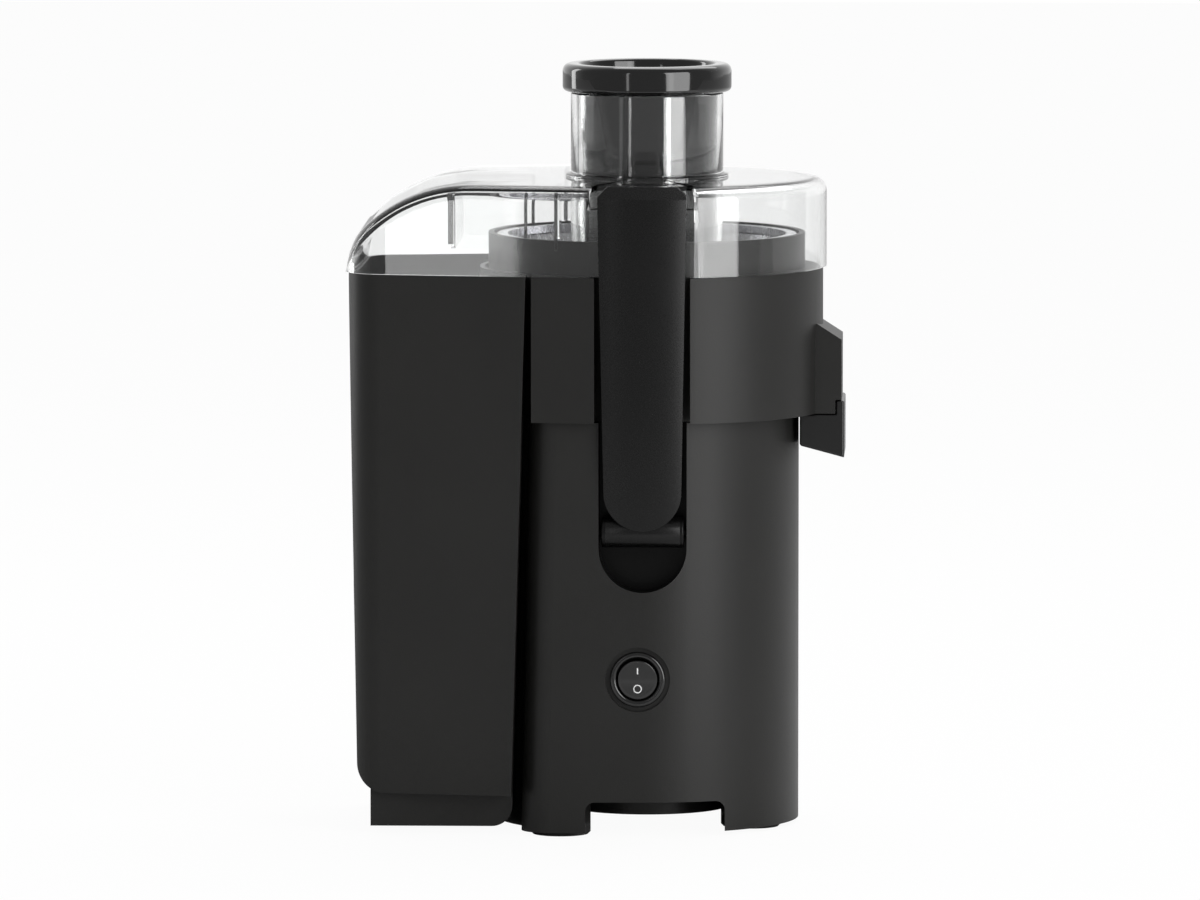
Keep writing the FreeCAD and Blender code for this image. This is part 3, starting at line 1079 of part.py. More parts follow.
def bin_form(name, inset, floor, top):
    """Bin outline, set in by a wall, from a floor height."""
    rear_top = "-(bin_rear_high - %s)" % inset
    lean = "((bin_rear_high - bin_rear_low) / %s)" % BIN_RISE
    rear_heel = "-(bin_rear_low + %s * bin_heel - %s)" % (lean, inset)
    heel = "(bin_heel - %s)" % inset
    front_top = "-(bin_front_high + %s)" % inset
    front_low = "-(bin_front_low + %s)" % inset
    side = [(front_top, top), (rear_top, top), (rear_heel, "bin_floor + bin_heel"),
            ("arc", "%s + %s" % (rear_heel, heel), "bin_floor + bin_heel", "left"),
            ("%s + %s" % (rear_heel, heel), floor), (front_low, floor)]
    body = new_body(name)
    pad(body, "XZ", "-(lid_radius + 1)", "lid_radius + 1", side)
    radius = BOWL_R + " - " + inset
    rear = "-(bin_rear_high - %s)" % inset
    hollow = "(bin_hollow + %s)" % inset
    front_x = "-(bin_front_high + %s - 1)" % inset
    front_y = half_width(radius, front_x)
    hollow_y = "sqrt(%s ^ 2 - (bin_front_high + %s - 1) ^ 2)" % (hollow, inset)
    corner = "(bin_corner - %s)" % inset
    bend_y = "(%s)" % half_width(radius, "%s + %s * (1 - %s)" % (rear, corner, SIN))
    bend_x = "(%s + %s * (1 - %s))" % (rear, corner, SIN)
    middle_x = "(%s + %s)" % (rear, corner)
    middle_y = "(%s - %s * %s)" % (bend_y, corner, COS)
    plan = [(front_x, "-" + hollow_y), ("arc", "0", "0", "right"), (front_x, hollow_y),
            (front_x, front_y), (bend_x, bend_y), ("arc", middle_x, middle_y, "left"), (rear, middle_y),
            (rear, "-" + middle_y), ("arc", middle_x, "-" + middle_y, "left"), (bend_x, "-" + bend_y),
            (front_x, "-(%s)" % front_y)]
    pocket(body, "XY", "bin_floor - 1", "bowl_top + 2",
           block("-(rear_reach + 2)", "-(lid_radius + 2)", "0", "lid_radius + 2"), plan)
    return body


bin_outer = bin_form("bin_outer", "0", "bin_floor", "bowl_top")
bin_inner = bin_form("bin_inner", "bin_wall", "bin_floor + bin_wall", "bowl_top + 1")
plinth_side = [("-plinth_rear", "bin_floor + bin_wall / 2"), ("-plinth_rear", "plinth_low"),
               ("-(bin_front_low + plinth_toe)", "plinth_low"),
               ("arc", "-(bin_front_low + plinth_toe)", "plinth_low + plinth_toe", "left"),
               ("-bin_front_low", "plinth_low + plinth_toe"), ("-bin_front_low", "bin_floor + bin_wall / 2")]
PLINTH_HALF = half_width(BOWL_R, "-plinth_rear") + " - plinth_inset"
plinth_block = prism("plinth_block", "XZ", "-(%s)" % PLINTH_HALF, PLINTH_HALF, plinth_side)
plinth_round = prism("plinth_round", "XY", "0", "bin_floor + bin_wall", ("circle", "0", "0", "bin_hollow"))
TUNNEL_HALF = "tongue_half + tunnel_gap"
tunnel = prism("tunnel", "XY", "0", "tongue_low + tongue_wall + move_gap",
               block("-(tongue_end + tunnel_gap)", "-(%s)" % TUNNEL_HALF, "0", TUNNEL_HALF))
plinth = less("plinth", plinth_block, joined("plinth_cuts", [plinth_round, tunnel]))
grip = prism("grip", "XZ", "-grip_half", "grip_half",
             [("-(bin_rear_low - bin_wall / 2)", "grip_low"), ("-(bin_rear_low - bin_wall / 2)", "grip_high"),
              ("-(bin_rear_low + (bin_rear_high - bin_rear_low) / %s * (grip_high - bin_floor) + grip_proud)"
               % BIN_RISE, "grip_high"),
              ("-(bin_rear_low + (bin_rear_high - bin_rear_low) / %s * (grip_low - bin_floor) + grip_proud)"
               % BIN_RISE, "grip_low")])
bin_solid = joined("bin_solid", [bin_outer, plinth, grip])
node("pulp_bin", less("bin_cut", bin_solid, bin_inner))

doc.recompute()
failed = [item.Name for item in doc.Objects if "Invalid" in item.State or "Error" in item.State]
if failed:
    raise RuntimeError("failed features: " + ", ".join(failed))
for item in NODES:
    if item.Shape.isNull() or not item.Shape.isValid() or item.Shape.Volume <= 0:
        raise RuntimeError("bad solid: " + item.Label)
os.makedirs("parts", exist_ok=True)
for item in NODES:
    item.Shape.exportStep("parts/%s.step" % item.Label)
    print("%-22s %d solid %10.1f mm3" % (item.Label, len(item.Shape.Solids), item.Shape.Volume))
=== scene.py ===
"""Studio scene of a countertop centrifugal juicer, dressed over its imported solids."""
import json
import math

import bmesh
import bpy
import numpy as np
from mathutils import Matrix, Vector


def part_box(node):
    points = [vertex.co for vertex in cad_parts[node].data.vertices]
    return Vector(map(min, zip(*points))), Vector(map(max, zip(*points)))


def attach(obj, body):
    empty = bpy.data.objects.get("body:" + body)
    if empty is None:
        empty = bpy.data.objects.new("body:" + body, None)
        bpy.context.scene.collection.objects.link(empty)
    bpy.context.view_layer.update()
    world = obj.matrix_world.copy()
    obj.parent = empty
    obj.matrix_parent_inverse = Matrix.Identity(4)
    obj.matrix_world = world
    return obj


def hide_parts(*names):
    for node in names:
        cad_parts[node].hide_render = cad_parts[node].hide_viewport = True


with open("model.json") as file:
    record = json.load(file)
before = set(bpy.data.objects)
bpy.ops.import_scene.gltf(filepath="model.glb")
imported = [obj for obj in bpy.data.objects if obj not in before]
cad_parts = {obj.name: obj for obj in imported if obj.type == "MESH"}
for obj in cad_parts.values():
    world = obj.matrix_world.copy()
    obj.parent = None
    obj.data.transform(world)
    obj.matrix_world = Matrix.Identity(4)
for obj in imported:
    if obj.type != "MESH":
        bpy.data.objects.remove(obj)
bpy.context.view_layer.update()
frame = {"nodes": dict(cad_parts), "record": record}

bl_info = {
    "name": "Centrifugal Juicer",
    "version": (1, 0, 0),
    "blender": (4, 5, 0),
    "location": "View3D > Sidebar > Juicer",
    "description": "Dresses the packed juicer with finished surfaces, materials and a studio",
    "category": "Object",
}

# All lengths are in metres. The motor axis stands upright at AXIS_X, where Y is 0.
AXIS_X = sum(corner[0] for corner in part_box("food_pusher")) / 2

QUARTER_TURN = math.pi / 2
FULL_TURN = 2 * math.pi
MERGE = 1e-7                        # points of a new piece this close are one point
SOLID_MERGE = 1e-6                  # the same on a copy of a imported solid
FLAT_ANGLE = math.radians(0.5)      # faces of such a copy that meet flatter than this are one face
SHARP_ANGLE = math.radians(35.0)    # a real edge, where smooth shading stops
WHITE = (1.0, 1.0, 1.0, 1.0)
# Near-black of painted shade, for the latch pockets, hinge barrels and sleeves.
PAINTED_SHADE_BLACK = (0.002, 0.002, 0.002)

# Clear lid: heights, then the curved rear, the tapered sides, the inner edge and the latch notches.
LID_RIM = 0.2336
LID_TOP = 0.2707
LID_CURVE = 0.0527                  # length of the curved rear
LID_BACK = 0.026                    # radius of the short arc at the rear rim
LID_TAPER = math.radians(10.0)      # each side draws in towards the rear
LID_CORNER = 0.018                  # plan radius of the rear corners
INNER_EDGE = 0.0008                 # radius of the inner edge at the rear
EDGE_BLEND = (-0.02, 0.03)          # places along X between which the rear's edge turns into the front's
NOTCH_HALF = 0.0215                 # half width
NOTCH_OUT = 0.0683                  # distance of the notch back from the middle
NOTCH_RAMP = 0.262                  # height of the ramp's foot
NOTCH_WALL = 0.0014
RAMP_WALL = 0.0007

# Points along each stretch of the lid's half outline, and the rings of its wall, top edge and ceiling.
FRONT_POINTS = 44
NOTCH_POINTS = 14
NOTCH_SIDE_POINTS = 5
SIDE_POINTS = 26
BEND_POINTS = 13
REAR_POINTS = 13
NOTCH_BACK, NOTCH_FRONT_SIDE, NOTCH_REAR_SIDE = 1, 2, 3
WALL_RINGS = (0.0, 0.04, 0.35, 0.7, 0.96, 1.0)
EDGE_RINGS = np.radians((15.0, 30.0, 45.0, 60.0, 75.0, 90.0))
CEILING_RINGS = (0.12, 0.3, 0.5, 0.7, 0.88, 1.0)

# Feed chute, as (radius, height) corners: up from the lid's top, over the lip, down the bore, round the foot.
CHUTE_OUT = 0.0318
CHUTE_BORE = 0.0299
CHUTE_TOP = 0.3060
CHUTE_FOOT = 0.2220
CHUTE_FILLET = 0.0022
CHUTE_PROFILE = (
    (CHUTE_OUT + CHUTE_FILLET, LID_TOP + 0.0009), (CHUTE_OUT + 0.0019, LID_TOP + 0.0013),
    (CHUTE_OUT + 0.0002, LID_TOP + 0.0018), (CHUTE_OUT, LID_TOP + 0.0024),
    (CHUTE_OUT, CHUTE_TOP - 0.0020), (CHUTE_OUT, CHUTE_TOP - 0.0006),
    (CHUTE_OUT - 0.0003, CHUTE_TOP - 0.0002), (CHUTE_OUT - 0.0007, CHUTE_TOP),
    (CHUTE_BORE + 0.0004, CHUTE_TOP), (CHUTE_BORE, CHUTE_TOP - 0.0004), (CHUTE_BORE, CHUTE_TOP - 0.0012),
    (CHUTE_BORE, 0.2600), (CHUTE_BORE, CHUTE_FOOT + 0.0006), (CHUTE_BORE + 0.0004, CHUTE_FOOT),
    (CHUTE_OUT - 0.0004, CHUTE_FOOT), (CHUTE_OUT, CHUTE_FOOT + 0.0006), (CHUTE_OUT, 0.2450))

# Plates inside the lid: the axis that each stands across, its place and wall on that axis, low and high along
# the other, base and top, and the radius of its lower corners. A paired plate is given for the far side.
PLATE_STEPS = 7                     # points round a lower corner
DEFLECTOR = ("x", -0.080, 0.0018, -0.040, 0.040, 0.243, 0.2655, 0.004)
PAIRED_FINS = (
    ("fin_web", ("y", 0.0382, 0.0018, -0.0778, -0.058, 0.243, 0.2680, 0.003)),
    ("fin_guard", ("x", -0.036, 0.0018, 0.0382, 0.064, 0.249, 0.2682, 0.003)),
)
# Dark-tinted plates along the lid's rear, front, top and guard edges: painted shade standing for the dark
# refraction there.
PAIRED_SHADE_BANDS = (
    ("shade_band_rear", ("x", -0.0812, 0.0022, 0.0386, 0.0416, 0.2450, 0.2660, 0.0010)),
    ("shade_band_front", ("x", -0.0496, 0.0013, 0.0390, 0.0416, 0.2350, 0.2660, 0.0006)),
    ("shade_band_top", ("y", 0.0390, 0.0026, -0.0790, -0.0496, 0.2650, 0.2660, 0.0004)),
    ("shade_band_guard", ("x", -0.0363, 0.0014, 0.0618, 0.0642, 0.2440, 0.2680, 0.0006)),
)

# Latch arms: their rounded edge, the crown of their front, and the sleeve that widens the hinge barrel.
ARM_EDGE = 0.0020
ARM_CROWN = 8.0
SLEEVE_REACH = 0.0170
SLEEVE_BORE = 0.0024
SLEEVE_RADIUS = 0.00636
SLEEVE_SEGMENTS = 64
SLEEVE_RADII = (0, 0.0003, 0.0007, 0.0007, 0.0003, 0)

# Zones with a second, near-black finish of painted shade: half width about the axis, then bands of depth and of
# height.
POCKET_SHADE_ZONE = (0.0185, (0.045, 0.0605), (0.095, 0.160))
BARREL_SHADE_ZONE = (0.02, (0.040, 0.0615), (0.100, 0.128))

# Pusher: a cup with a rolled cap.
STEM_RADIUS = 0.0295
CAP_HEIGHT = 0.0117
CUP_FLOOR = 0.0022
CUP_LIP = 0.0012                    # the cup's wall at its lip, below the lip and at its floor
CUP_WALL = 0.0022
CUP_FOOT_WALL = 0.0026
CUP_FLARE = 0.004                   # depth of the flared lip
PUSHER_SEGMENTS = 160
PUSHER_RADII = (0, 0.0012, 0.0008, 0.0022, 0.0030, 0.0014, 0.001, 0.003, 0)

# Round rocker switch and its printed marks.
ROCKER_TILT = math.radians(14.0)    # between the rocker's two faces
ROCKER_EDGE = 0.0005
ROCKER_BEND = 0.0008                # softness of the line where the two faces meet
ROCKER_DEPTH = 0.0024
ROCKER_RINGS = 12                   # rings of points across the faces
ROCKER_EDGE_STEPS = 5
SWITCH_SEGMENTS = 96
BEZEL_SEAT = 0.0021                 # thickness of the rim that lies on the housing
BEZEL_STEP = 0.0016                 # the body behind the rim is smaller by this
BEZEL_WELL = 0.0048
BEZEL_GAP = 0.0004
BEZEL_RADII = (0, 0.0005, 0, 0, 0.0011, 0.0014, 0.0003, 0)
INK = 0.00012                       # how far a mark stands proud, and how far it is let in
BAR_HALF = 0.00027
BAR_ENDS = (0.0024, 0.0051)
BAR_CORNER = 0.0001
RING_RADII = (0.00135, 0.00178)
RING_DROP = 0.46                    # of the rocker's radius
RING_SEGMENTS = 48

# Studio: the floor ends before the camera, and is white to rays through the lid only behind the juicer.
FLOOR_SIDE = 6.0
FLOOR_FRONT = -0.6
FLOOR_BEHIND = 0.05
FLOOR_GLOW = 0.95
SKY = {"From Min": 0.1, "From Max": 0.7, "To Min": 0.36, "To Max": 1.0}
LAMP_AIM = Vector((0.0, 0.0, 0.16))
LAMPS = (                           # name, bearing in degrees, distance, height, width, length, power in watts
    ("light_key", 45.0, 1.7, 0.45, 1.05, 1.6, 23.5),
    ("light_core", 35.0, 1.6, 0.5, 0.20, 1.3, 0.8),
    ("light_strip", -24.0, 1.7, 0.5, 0.10, 1.2, 1.0),
    ("light_rim", -118.0, 1.6, 0.5, 0.3, 1.3, 5.0),
    ("light_top", 160.0, 0.8, 1.5, 1.2, 1.2, 10.0),
)

# Camera at the photograph's angle, placed by the pixels of the motor axis and of the floor under it.
PHOTO_WIDTH = 1200.0
PHOTO_HEIGHT = 900.0
PHOTO_SCALE = 2390.0                # pixels per metre at the axis
AXIS_PIXEL = 647.0
FLOOR_PIXEL = 820.5
CAMERA_AWAY = 5.3
CAMERA_AZIMUTH = math.radians(1.9)
CAMERA_ELEVATION = math.radians(5.3)
CAMERA_SENSOR = 36.0                # in millimetres
CAMERA_END = 50.0


class JuicerSizes(bpy.types.PropertyGroup):
    """Sizes of the clear lid and of the moulded edges."""
    lid_radius: bpy.props.FloatProperty(
        name="Lid Radius", description="Front radius of the lid", default=0.075, unit="LENGTH")
    lid_rear: bpy.props.FloatProperty(
        name="Lid Rear", description="Rear end of the lid behind the motor axis", default=0.124, unit="LENGTH")
    lid_edge: bpy.props.FloatProperty(
        name="Lid Edge", description="Radius of the lid's top edge", default=0.006, unit="LENGTH")
    lid_wall: bpy.props.FloatProperty(
        name="Lid Wall", description="Wall of the clear lid", default=0.0024, unit="LENGTH")
    soft_edge: bpy.props.FloatProperty(
        name="Soft Edge", description="Width of the rounded moulded edges", default=0.0009, unit="LENGTH")


class JuicerFinish(bpy.types.PropertyGroup):
    """Colours of the mouldings and of the switch marks."""
    body_colour: bpy.props.FloatVectorProperty(
        name="Body", description="Satin black of the mouldings",
        default=(0.0112, 0.0110, 0.0103), size=3, subtype="COLOR")
    latch_colour: bpy.props.FloatVectorProperty(
        name="Latch", description="Black of the latch arms and nozzle",
        default=(0.0034, 0.0034, 0.0034), size=3, subtype="COLOR")
    pusher_colour: bpy.props.FloatVectorProperty(
        name="Pusher", description="Gloss black of the pusher and switch",
        default=(0.003, 0.003, 0.003), size=3, subtype="COLOR")
    mark_colour: bpy.props.FloatVectorProperty(
        name="Marks", description="White of the switch marks",
        default=(0.8, 0.8, 0.8), size=3, subtype="COLOR")


def sizes():
    """The scene's size settings."""
    return bpy.context.scene.juicer_sizes


def colours():
    """The scene's colour settings."""
    return bpy.context.scene.juicer_finish


class Value:
    """A node's output with arithmetic: an expression on values adds its Math nodes."""

    def __init__(self, finish, socket):
        self.finish = finish
        self.socket = socket

    def maths(self, operation, first, second):
        return self.finish.node("ShaderNodeMath", {"operation": operation}, {0: first, 1: second})

    def __add__(self, other):
        return self.maths("ADD", self, other)

    def __radd__(self, other):
        return self.maths("ADD", other, self)

    def __sub__(self, other):
        return self.maths("SUBTRACT", self, other)

    def __rsub__(self, other):
        return self.maths("SUBTRACT", other, self)

    def __mul__(self, other):
        return self.maths("MULTIPLY", self, other)

    def __rmul__(self, other):
        return self.maths("MULTIPLY", other, self)

    def __gt__(self, other):
        return self.maths("GREATER_THAN", self, other)

    def __lt__(self, other):
        return self.maths("LESS_THAN", self, other)


class Finish:
    """The nodes of one procedural material, on Object coordinates, or of the world."""

    def __init__(self, name, kind="materials", output="ShaderNodeOutputMaterial"):
        self.owner = getattr(bpy.data, kind).new(name)
        self.owner.use_nodes = True
        self.tree = self.owner.node_tree
        self.tree.nodes.clear()
        self.output = self.tree.nodes.new(output)

    def node(self, kind, settings=None, inputs=None, out=0):
        """Adds a node: its settings first, then the values or links of its sockets; gives one output."""
        made = self.tree.nodes.new(kind)
        for key, setting in (settings or {}).items():
            if key == "stops":
                stops = made.color_ramp.elements
                for index, (place, colour) in enumerate(setting):
                    stop = stops[index] if index < 2 else stops.new(place)
                    stop.position = place
                    stop.color = colour
            else:
                setattr(made, key, setting)
        for key, value in (inputs or {}).items():
            if isinstance(value, Value):
                self.tree.links.new(value.socket, made.inputs[key])
            else:
                made.inputs[key].default_value = value
        return Value(self, made.outputs[out])

    def place(self):
        """Object coordinates."""
        return self.node("ShaderNodeTexCoord", out="Object")

    def noise(self, scale, detail, roughness, stretch=None):
        """Noise from 0 to 1 over the object, finer with a larger scale, and stretched where asked."""
        where = self.place()
        if stretch:
            where = self.node("ShaderNodeMapping", None, {"Vector": where, "Scale": stretch})
        return self.node("ShaderNodeTexNoise", None,
                         {"Vector": where, "Scale": scale, "Detail": detail, "Roughness": roughness})

    def bands(self, scale, distortion, detail):
        """Waves from 0 to 1 along the height of the object."""
        return self.node("ShaderNodeTexWave", {"bands_direction": "Z"}, {
            "Vector": self.place(), "Scale": scale, "Distortion": distortion, "Detail": detail}, out=1)

    def ramp(self, factor, *stops):
        """Colour ramp on a factor."""
        return self.node("ShaderNodeValToRGB", {"stops": stops}, {0: factor})

    def bump(self, height, strength, distance, under=None):
        """Bump normal from a height, over another bump or none."""
        inputs = {"Strength": strength, "Distance": distance, "Height": height}
        if under:
            inputs["Normal"] = under
        return self.node("ShaderNodeBump", None, inputs)

    def surface(self, shader):
        """Sets the surface."""
        self.tree.links.new(shader.socket, self.output.inputs[0])
        return self.owner

    def principled(self, sockets):
        """Sets a Principled surface by the values or links of its sockets."""
        return self.surface(self.node("ShaderNodeBsdfPrincipled", None, sockets))


def shade(colour, factor):
    """A colour scaled by a factor, with alpha."""
    return tuple(channel * factor for channel in colour[:3]) + (1.0,)


def moulded_black(name, colour, roughness, grain, depth, gloss=0.5, crown=0.0):
    """Moulded plastic: spark-eroded grain, faint flow clouds in colour and sheen, a crown across the width."""
    finish = Finish(name)
    clouds = finish.noise(scale=14.0, detail=3.0, roughness=0.55)
    fine = finish.noise(scale=grain, detail=3.0, roughness=0.6)
    normal = finish.bump(fine, strength=depth, distance=0.0004)
    if crown:
        across = finish.node("ShaderNodeSeparateXYZ", None, {0: finish.place()}) - AXIS_X
        normal = finish.bump(across * across * -crown, strength=1.0, distance=1.0, under=normal)
    return finish.principled({
        "Base Color": finish.ramp(clouds, (0.3, shade(colour, 0.88)), (0.7, shade(colour, 1.14))),
        "Roughness": roughness + (clouds - 0.5) * 0.10 + (fine - 0.5) * 0.12,
        "Normal": normal, "Specular IOR Level": gloss})


def polished_black(name, colour, roughness):
    """Polished plastic: mirror-smooth with faint handling haze."""
    finish = Finish(name)
    haze = finish.noise(scale=38.0, detail=4.0, roughness=0.6)
    wave = finish.noise(scale=30.0, detail=1.0, roughness=0.4)
    return finish.principled({
        "Base Color": finish.ramp(haze, (0.3, shade(colour, 0.9)), (0.75, shade(colour, 1.3))),
        "Roughness": roughness + haze * 0.06, "Normal": finish.bump(wave, strength=0.02, distance=0.0006),
        "Coat Weight": 0.3, "Coat Roughness": 0.04})


def clear_plastic(name, tint):
    """Clear polished plastic: refracting, with faint moulding haze, and open to light for shadows."""
    finish = Finish(name)
    haze = finish.noise(scale=60.0, detail=3.0, roughness=0.6)
    glass = finish.node("ShaderNodeBsdfPrincipled", None, {
        "Base Color": tint, "Roughness": haze * 0.03 + 0.012, "IOR": 1.52, "Transmission Weight": 1.0})
    clear = finish.node("ShaderNodeBsdfTransparent", None, {0: (0.93, 0.94, 0.94, 1.0)})
    shadow = finish.node("ShaderNodeLightPath", out="Is Shadow Ray")
    return finish.surface(finish.node("ShaderNodeMixShader", None, {0: shadow, 1: glass, 2: clear}))


def brushed_metal(name, colour, roughness, stretch):
    """Metal with fine brushing along one axis."""
    finish = Finish(name)
    lines = finish.noise(scale=420.0, detail=4.0, roughness=0.7, stretch=stretch)
    return finish.principled({
        "Base Color": finish.ramp(lines, (0.25, shade(colour, 0.82)), (0.75, shade(colour, 1.1))),
        "Metallic": 1.0, "Roughness": roughness + (lines - 0.5) * 0.14,
        "Normal": finish.bump(lines, strength=0.12, distance=0.0002)})


def soft_rubber():
    """Matte rubber with a dusty bloom."""
    finish = Finish("foot_rubber")
    dust = finish.noise(scale=90.0, detail=5.0, roughness=0.7)
    return finish.principled({
        "Base Color": finish.ramp(dust, (0.35, (0.012, 0.012, 0.012, 1)), (0.8, (0.03, 0.03, 0.029, 1))),
        "Roughness": 0.78 + dust * 0.15, "Normal": finish.bump(dust, strength=0.15, distance=0.0003)})


def enamel_wire():
    """Copper windings: tight bands of enamelled wire round the motor axis."""
    finish = Finish("copper_windings")
    turns = finish.bands(scale=260.0, distortion=1.5, detail=2.0)
    return finish.principled({
        "Base Color": finish.ramp(turns, (0.2, (0.22, 0.07, 0.025, 1)), (0.8, (0.62, 0.26, 0.1, 1))),
        "Metallic": 0.85, "Roughness": 0.32 + turns * 0.1,
        "Normal": finish.bump(turns, strength=0.5, distance=0.0004)})


def stacked_sheet():
    """Motor laminations: thin sheets stacked along the axis."""
    finish = Finish("lamination_stack")
    sheets = finish.bands(scale=320.0, distortion=0.3, detail=2.0)
    return finish.principled({
        "Base Color": finish.ramp(sheets, (0.2, (0.10, 0.10, 0.11, 1)), (0.8, (0.36, 0.36, 0.38, 1))),
        "Metallic": 0.9, "Roughness": 0.45 + sheets * 0.1,
        "Normal": finish.bump(sheets, strength=0.4, distance=0.0003)})


def white_print(colour):
    """Pad-printed white ink, slightly uneven."""
    finish = Finish("switch_marks")
    ink = finish.noise(scale=900.0, detail=3.0, roughness=0.6)
    return finish.principled({
        "Base Color": finish.ramp(ink, (0.3, shade(colour, 0.9)), (0.7, shade(colour, 1.05))),
        "Roughness": 0.5})


def studio_paper():
    """White paper that takes the juicer's shadow. Camera rays see it nearly white, and so do rays that have
    passed through the clear lid, where the paper lies behind the juicer."""
    paper = Finish("studio_paper")
    behind = paper.node("ShaderNodeSeparateXYZ", None, {0: paper.place()}, out="Y") > FLOOR_BEHIND
    through = paper.node("ShaderNodeLightPath", out="Is Transmission Ray") * behind
    seen = paper.node("ShaderNodeLightPath", out="Is Camera Ray") + through
    grain = paper.noise(scale=3.0, detail=2.0, roughness=0.5)
    tone = paper.ramp(grain, (0.3, (0.88, 0.88, 0.88, 1)), (0.7, (0.9, 0.9, 0.9, 1)))
    diffuse = paper.node("ShaderNodeBsdfDiffuse", None, {0: tone})
    glow = paper.node("ShaderNodeEmission", None, {0: WHITE, 1: 1.0})
    return paper.surface(paper.node("ShaderNodeMixShader", None, {0: seen * FLOOR_GLOW, 1: diffuse, 2: glow}))


def studio_sky():
    """White world, darker on the camera's side so that black plastic stays black; camera rays see white."""
    sky = Finish("studio_world", "worlds", "ShaderNodeOutputWorld")
    around = sky.node("ShaderNodeTexCoord", out="Generated")
    depth = sky.node("ShaderNodeSeparateXYZ", None, {0: around}, out="Y")
    level = sky.node("ShaderNodeMapRange", None, {"Value": depth, **SKY})
    seen = sky.node("ShaderNodeLightPath", out="Is Camera Ray")
    strength = sky.node("ShaderNodeMath", {"operation": "MAXIMUM"}, {0: level, 1: seen})
    return sky.surface(sky.node("ShaderNodeBackground", None, {0: WHITE, 1: strength}))


def add_object(name, data):
    """Adds an object to the scene, at the origin."""
    made = bpy.data.objects.new(name, data)
    bpy.context.scene.collection.objects.link(made)
    return made


def merge_points(source, target, distance, flat=None):
    """Copies a mesh into another with its coincident points merged, and faces flatter than an angle joined."""
    shape = bmesh.new()
    shape.from_mesh(source)
    bmesh.ops.remove_doubles(shape, verts=shape.verts, dist=distance)
    if flat:
        bmesh.ops.dissolve_limit(shape, angle_limit=flat, verts=shape.verts, edges=shape.edges)
    shape.to_mesh(target)
    shape.free()


def smooth(mesh):
    """Shades every face smooth."""
    mesh.polygons.foreach_set("use_smooth", np.ones(len(mesh.polygons), dtype=bool))


def fit(piece, body, slot, *nodes):
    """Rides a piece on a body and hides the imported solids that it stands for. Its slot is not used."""
    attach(piece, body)
    if nodes:
        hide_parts(*nodes)


def mesh_piece(name, shape, material, body, slot, *nodes):
    """Makes a piece from a shape's points and faces, in place and smooth up to its real edges, on a body."""
    points, faces = shape
    mesh = bpy.data.meshes.new(name)
    mesh.from_pydata(points.tolist(), [], faces.tolist())
    merge_points(mesh, mesh, MERGE)
    mesh.validate()
    smooth(mesh)
    mesh.set_sharp_from_angle(angle=SHARP_ANGLE)
    mesh.materials.append(material)
    fit(add_object(name, mesh), body, slot, *nodes)


def softened(node, material, slot, width, angle=28.0, segments=2):
    """A node's own surface, joined into one skin, with its edges rounded as the moulding tool leaves them."""
    mesh = bpy.data.meshes.new(node + "_skin")
    merge_points(frame["nodes"][node].data, mesh, SOLID_MERGE, FLAT_ANGLE)
    mesh.materials.append(material)
    mesh.polygons.foreach_set("material_index", np.zeros(len(mesh.polygons), dtype=np.int32))
    smooth(mesh)
    piece = add_object(node + "_skin", mesh)
    edge = piece.modifiers.new("moulded_edge", "BEVEL")
    edge.width = width
    edge.segments = segments
    edge.limit_method = "ANGLE"
    edge.angle_limit = math.radians(angle)
    edge.use_clamp_overlap = True
    piece.modifiers.new("even_shading", "WEIGHTED_NORMAL")
    bodies = frame["record"]["behaviour"]["bodies"]
    fit(piece, next(name for name, members in bodies.items() if node in members), slot, node)
    return mesh


def paint_shade_faces(mesh, material, half_width, depth, height):
    """Gives the faces near the latches, within a half width and bands of depth and height, a second finish:
    painted shade.
    """
    centre = np.zeros(3 * len(mesh.polygons))
    mesh.polygons.foreach_get("center", centre)
    x, y, z = centre.reshape(-1, 3).T
    inside = (np.abs(x - AXIS_X) < half_width) & (np.abs(y) > depth[0]) & (np.abs(y) < depth[1])
    inside &= (z > height[0]) & (z < height[1])
    mesh.materials.append(material)
    mesh.polygons.foreach_set("material_index", inside.astype(np.int32))


def dress(material, *nodes):
    """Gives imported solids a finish."""
    for node in nodes:
        data = frame["nodes"][node].data
        data.materials.clear()
        data.materials.append(material)


def grid_faces(rows, columns, close=False):
    """Quads of a grid of points: its columns go once round, and its last row is joined to its first or not."""
    row = np.arange(rows if close else rows - 1)[:, None]
    above = (row + 1) % rows
    column = np.arange(columns)[None, :]
    after = (column + 1) % columns
    return np.stack([row * columns + column, row * columns + after,
                     above * columns + after, above * columns + column], axis=-1).reshape(-1, 4)


def turned(profile, segments):
    """Surface of revolution: each (radius, height) corner of a profile goes once round the motor axis."""
    profile = np.asarray(profile, dtype=float)
    angle = np.linspace(0.0, FULL_TURN, segments, endpoint=False)
    points = np.stack([AXIS_X + profile[:, :1] * np.cos(angle), profile[:, :1] * np.sin(angle),
                       np.repeat(profile[:, 1:], segments, axis=1)], axis=-1)
    return points.reshape(-1, 3), grid_faces(len(profile), segments)


def faced(profile, middle, height):
    """Surface of revolution about an axis along Y: each (radius, y) corner of a profile goes once round it."""
    points, faces = turned(profile, SWITCH_SEGMENTS)
    return np.column_stack([points[:, 0] - AXIS_X + middle, points[:, 2], points[:, 1] + height]), faces


def axled(profile, y, z):
    """Surface of revolution about an axis along X through (y, z): each (radius, x) corner goes round it."""
    points, faces = turned(profile, SLEEVE_SEGMENTS)
    return np.column_stack([AXIS_X + points[:, 2], points[:, 0] - AXIS_X + y, points[:, 1] + z]), faces


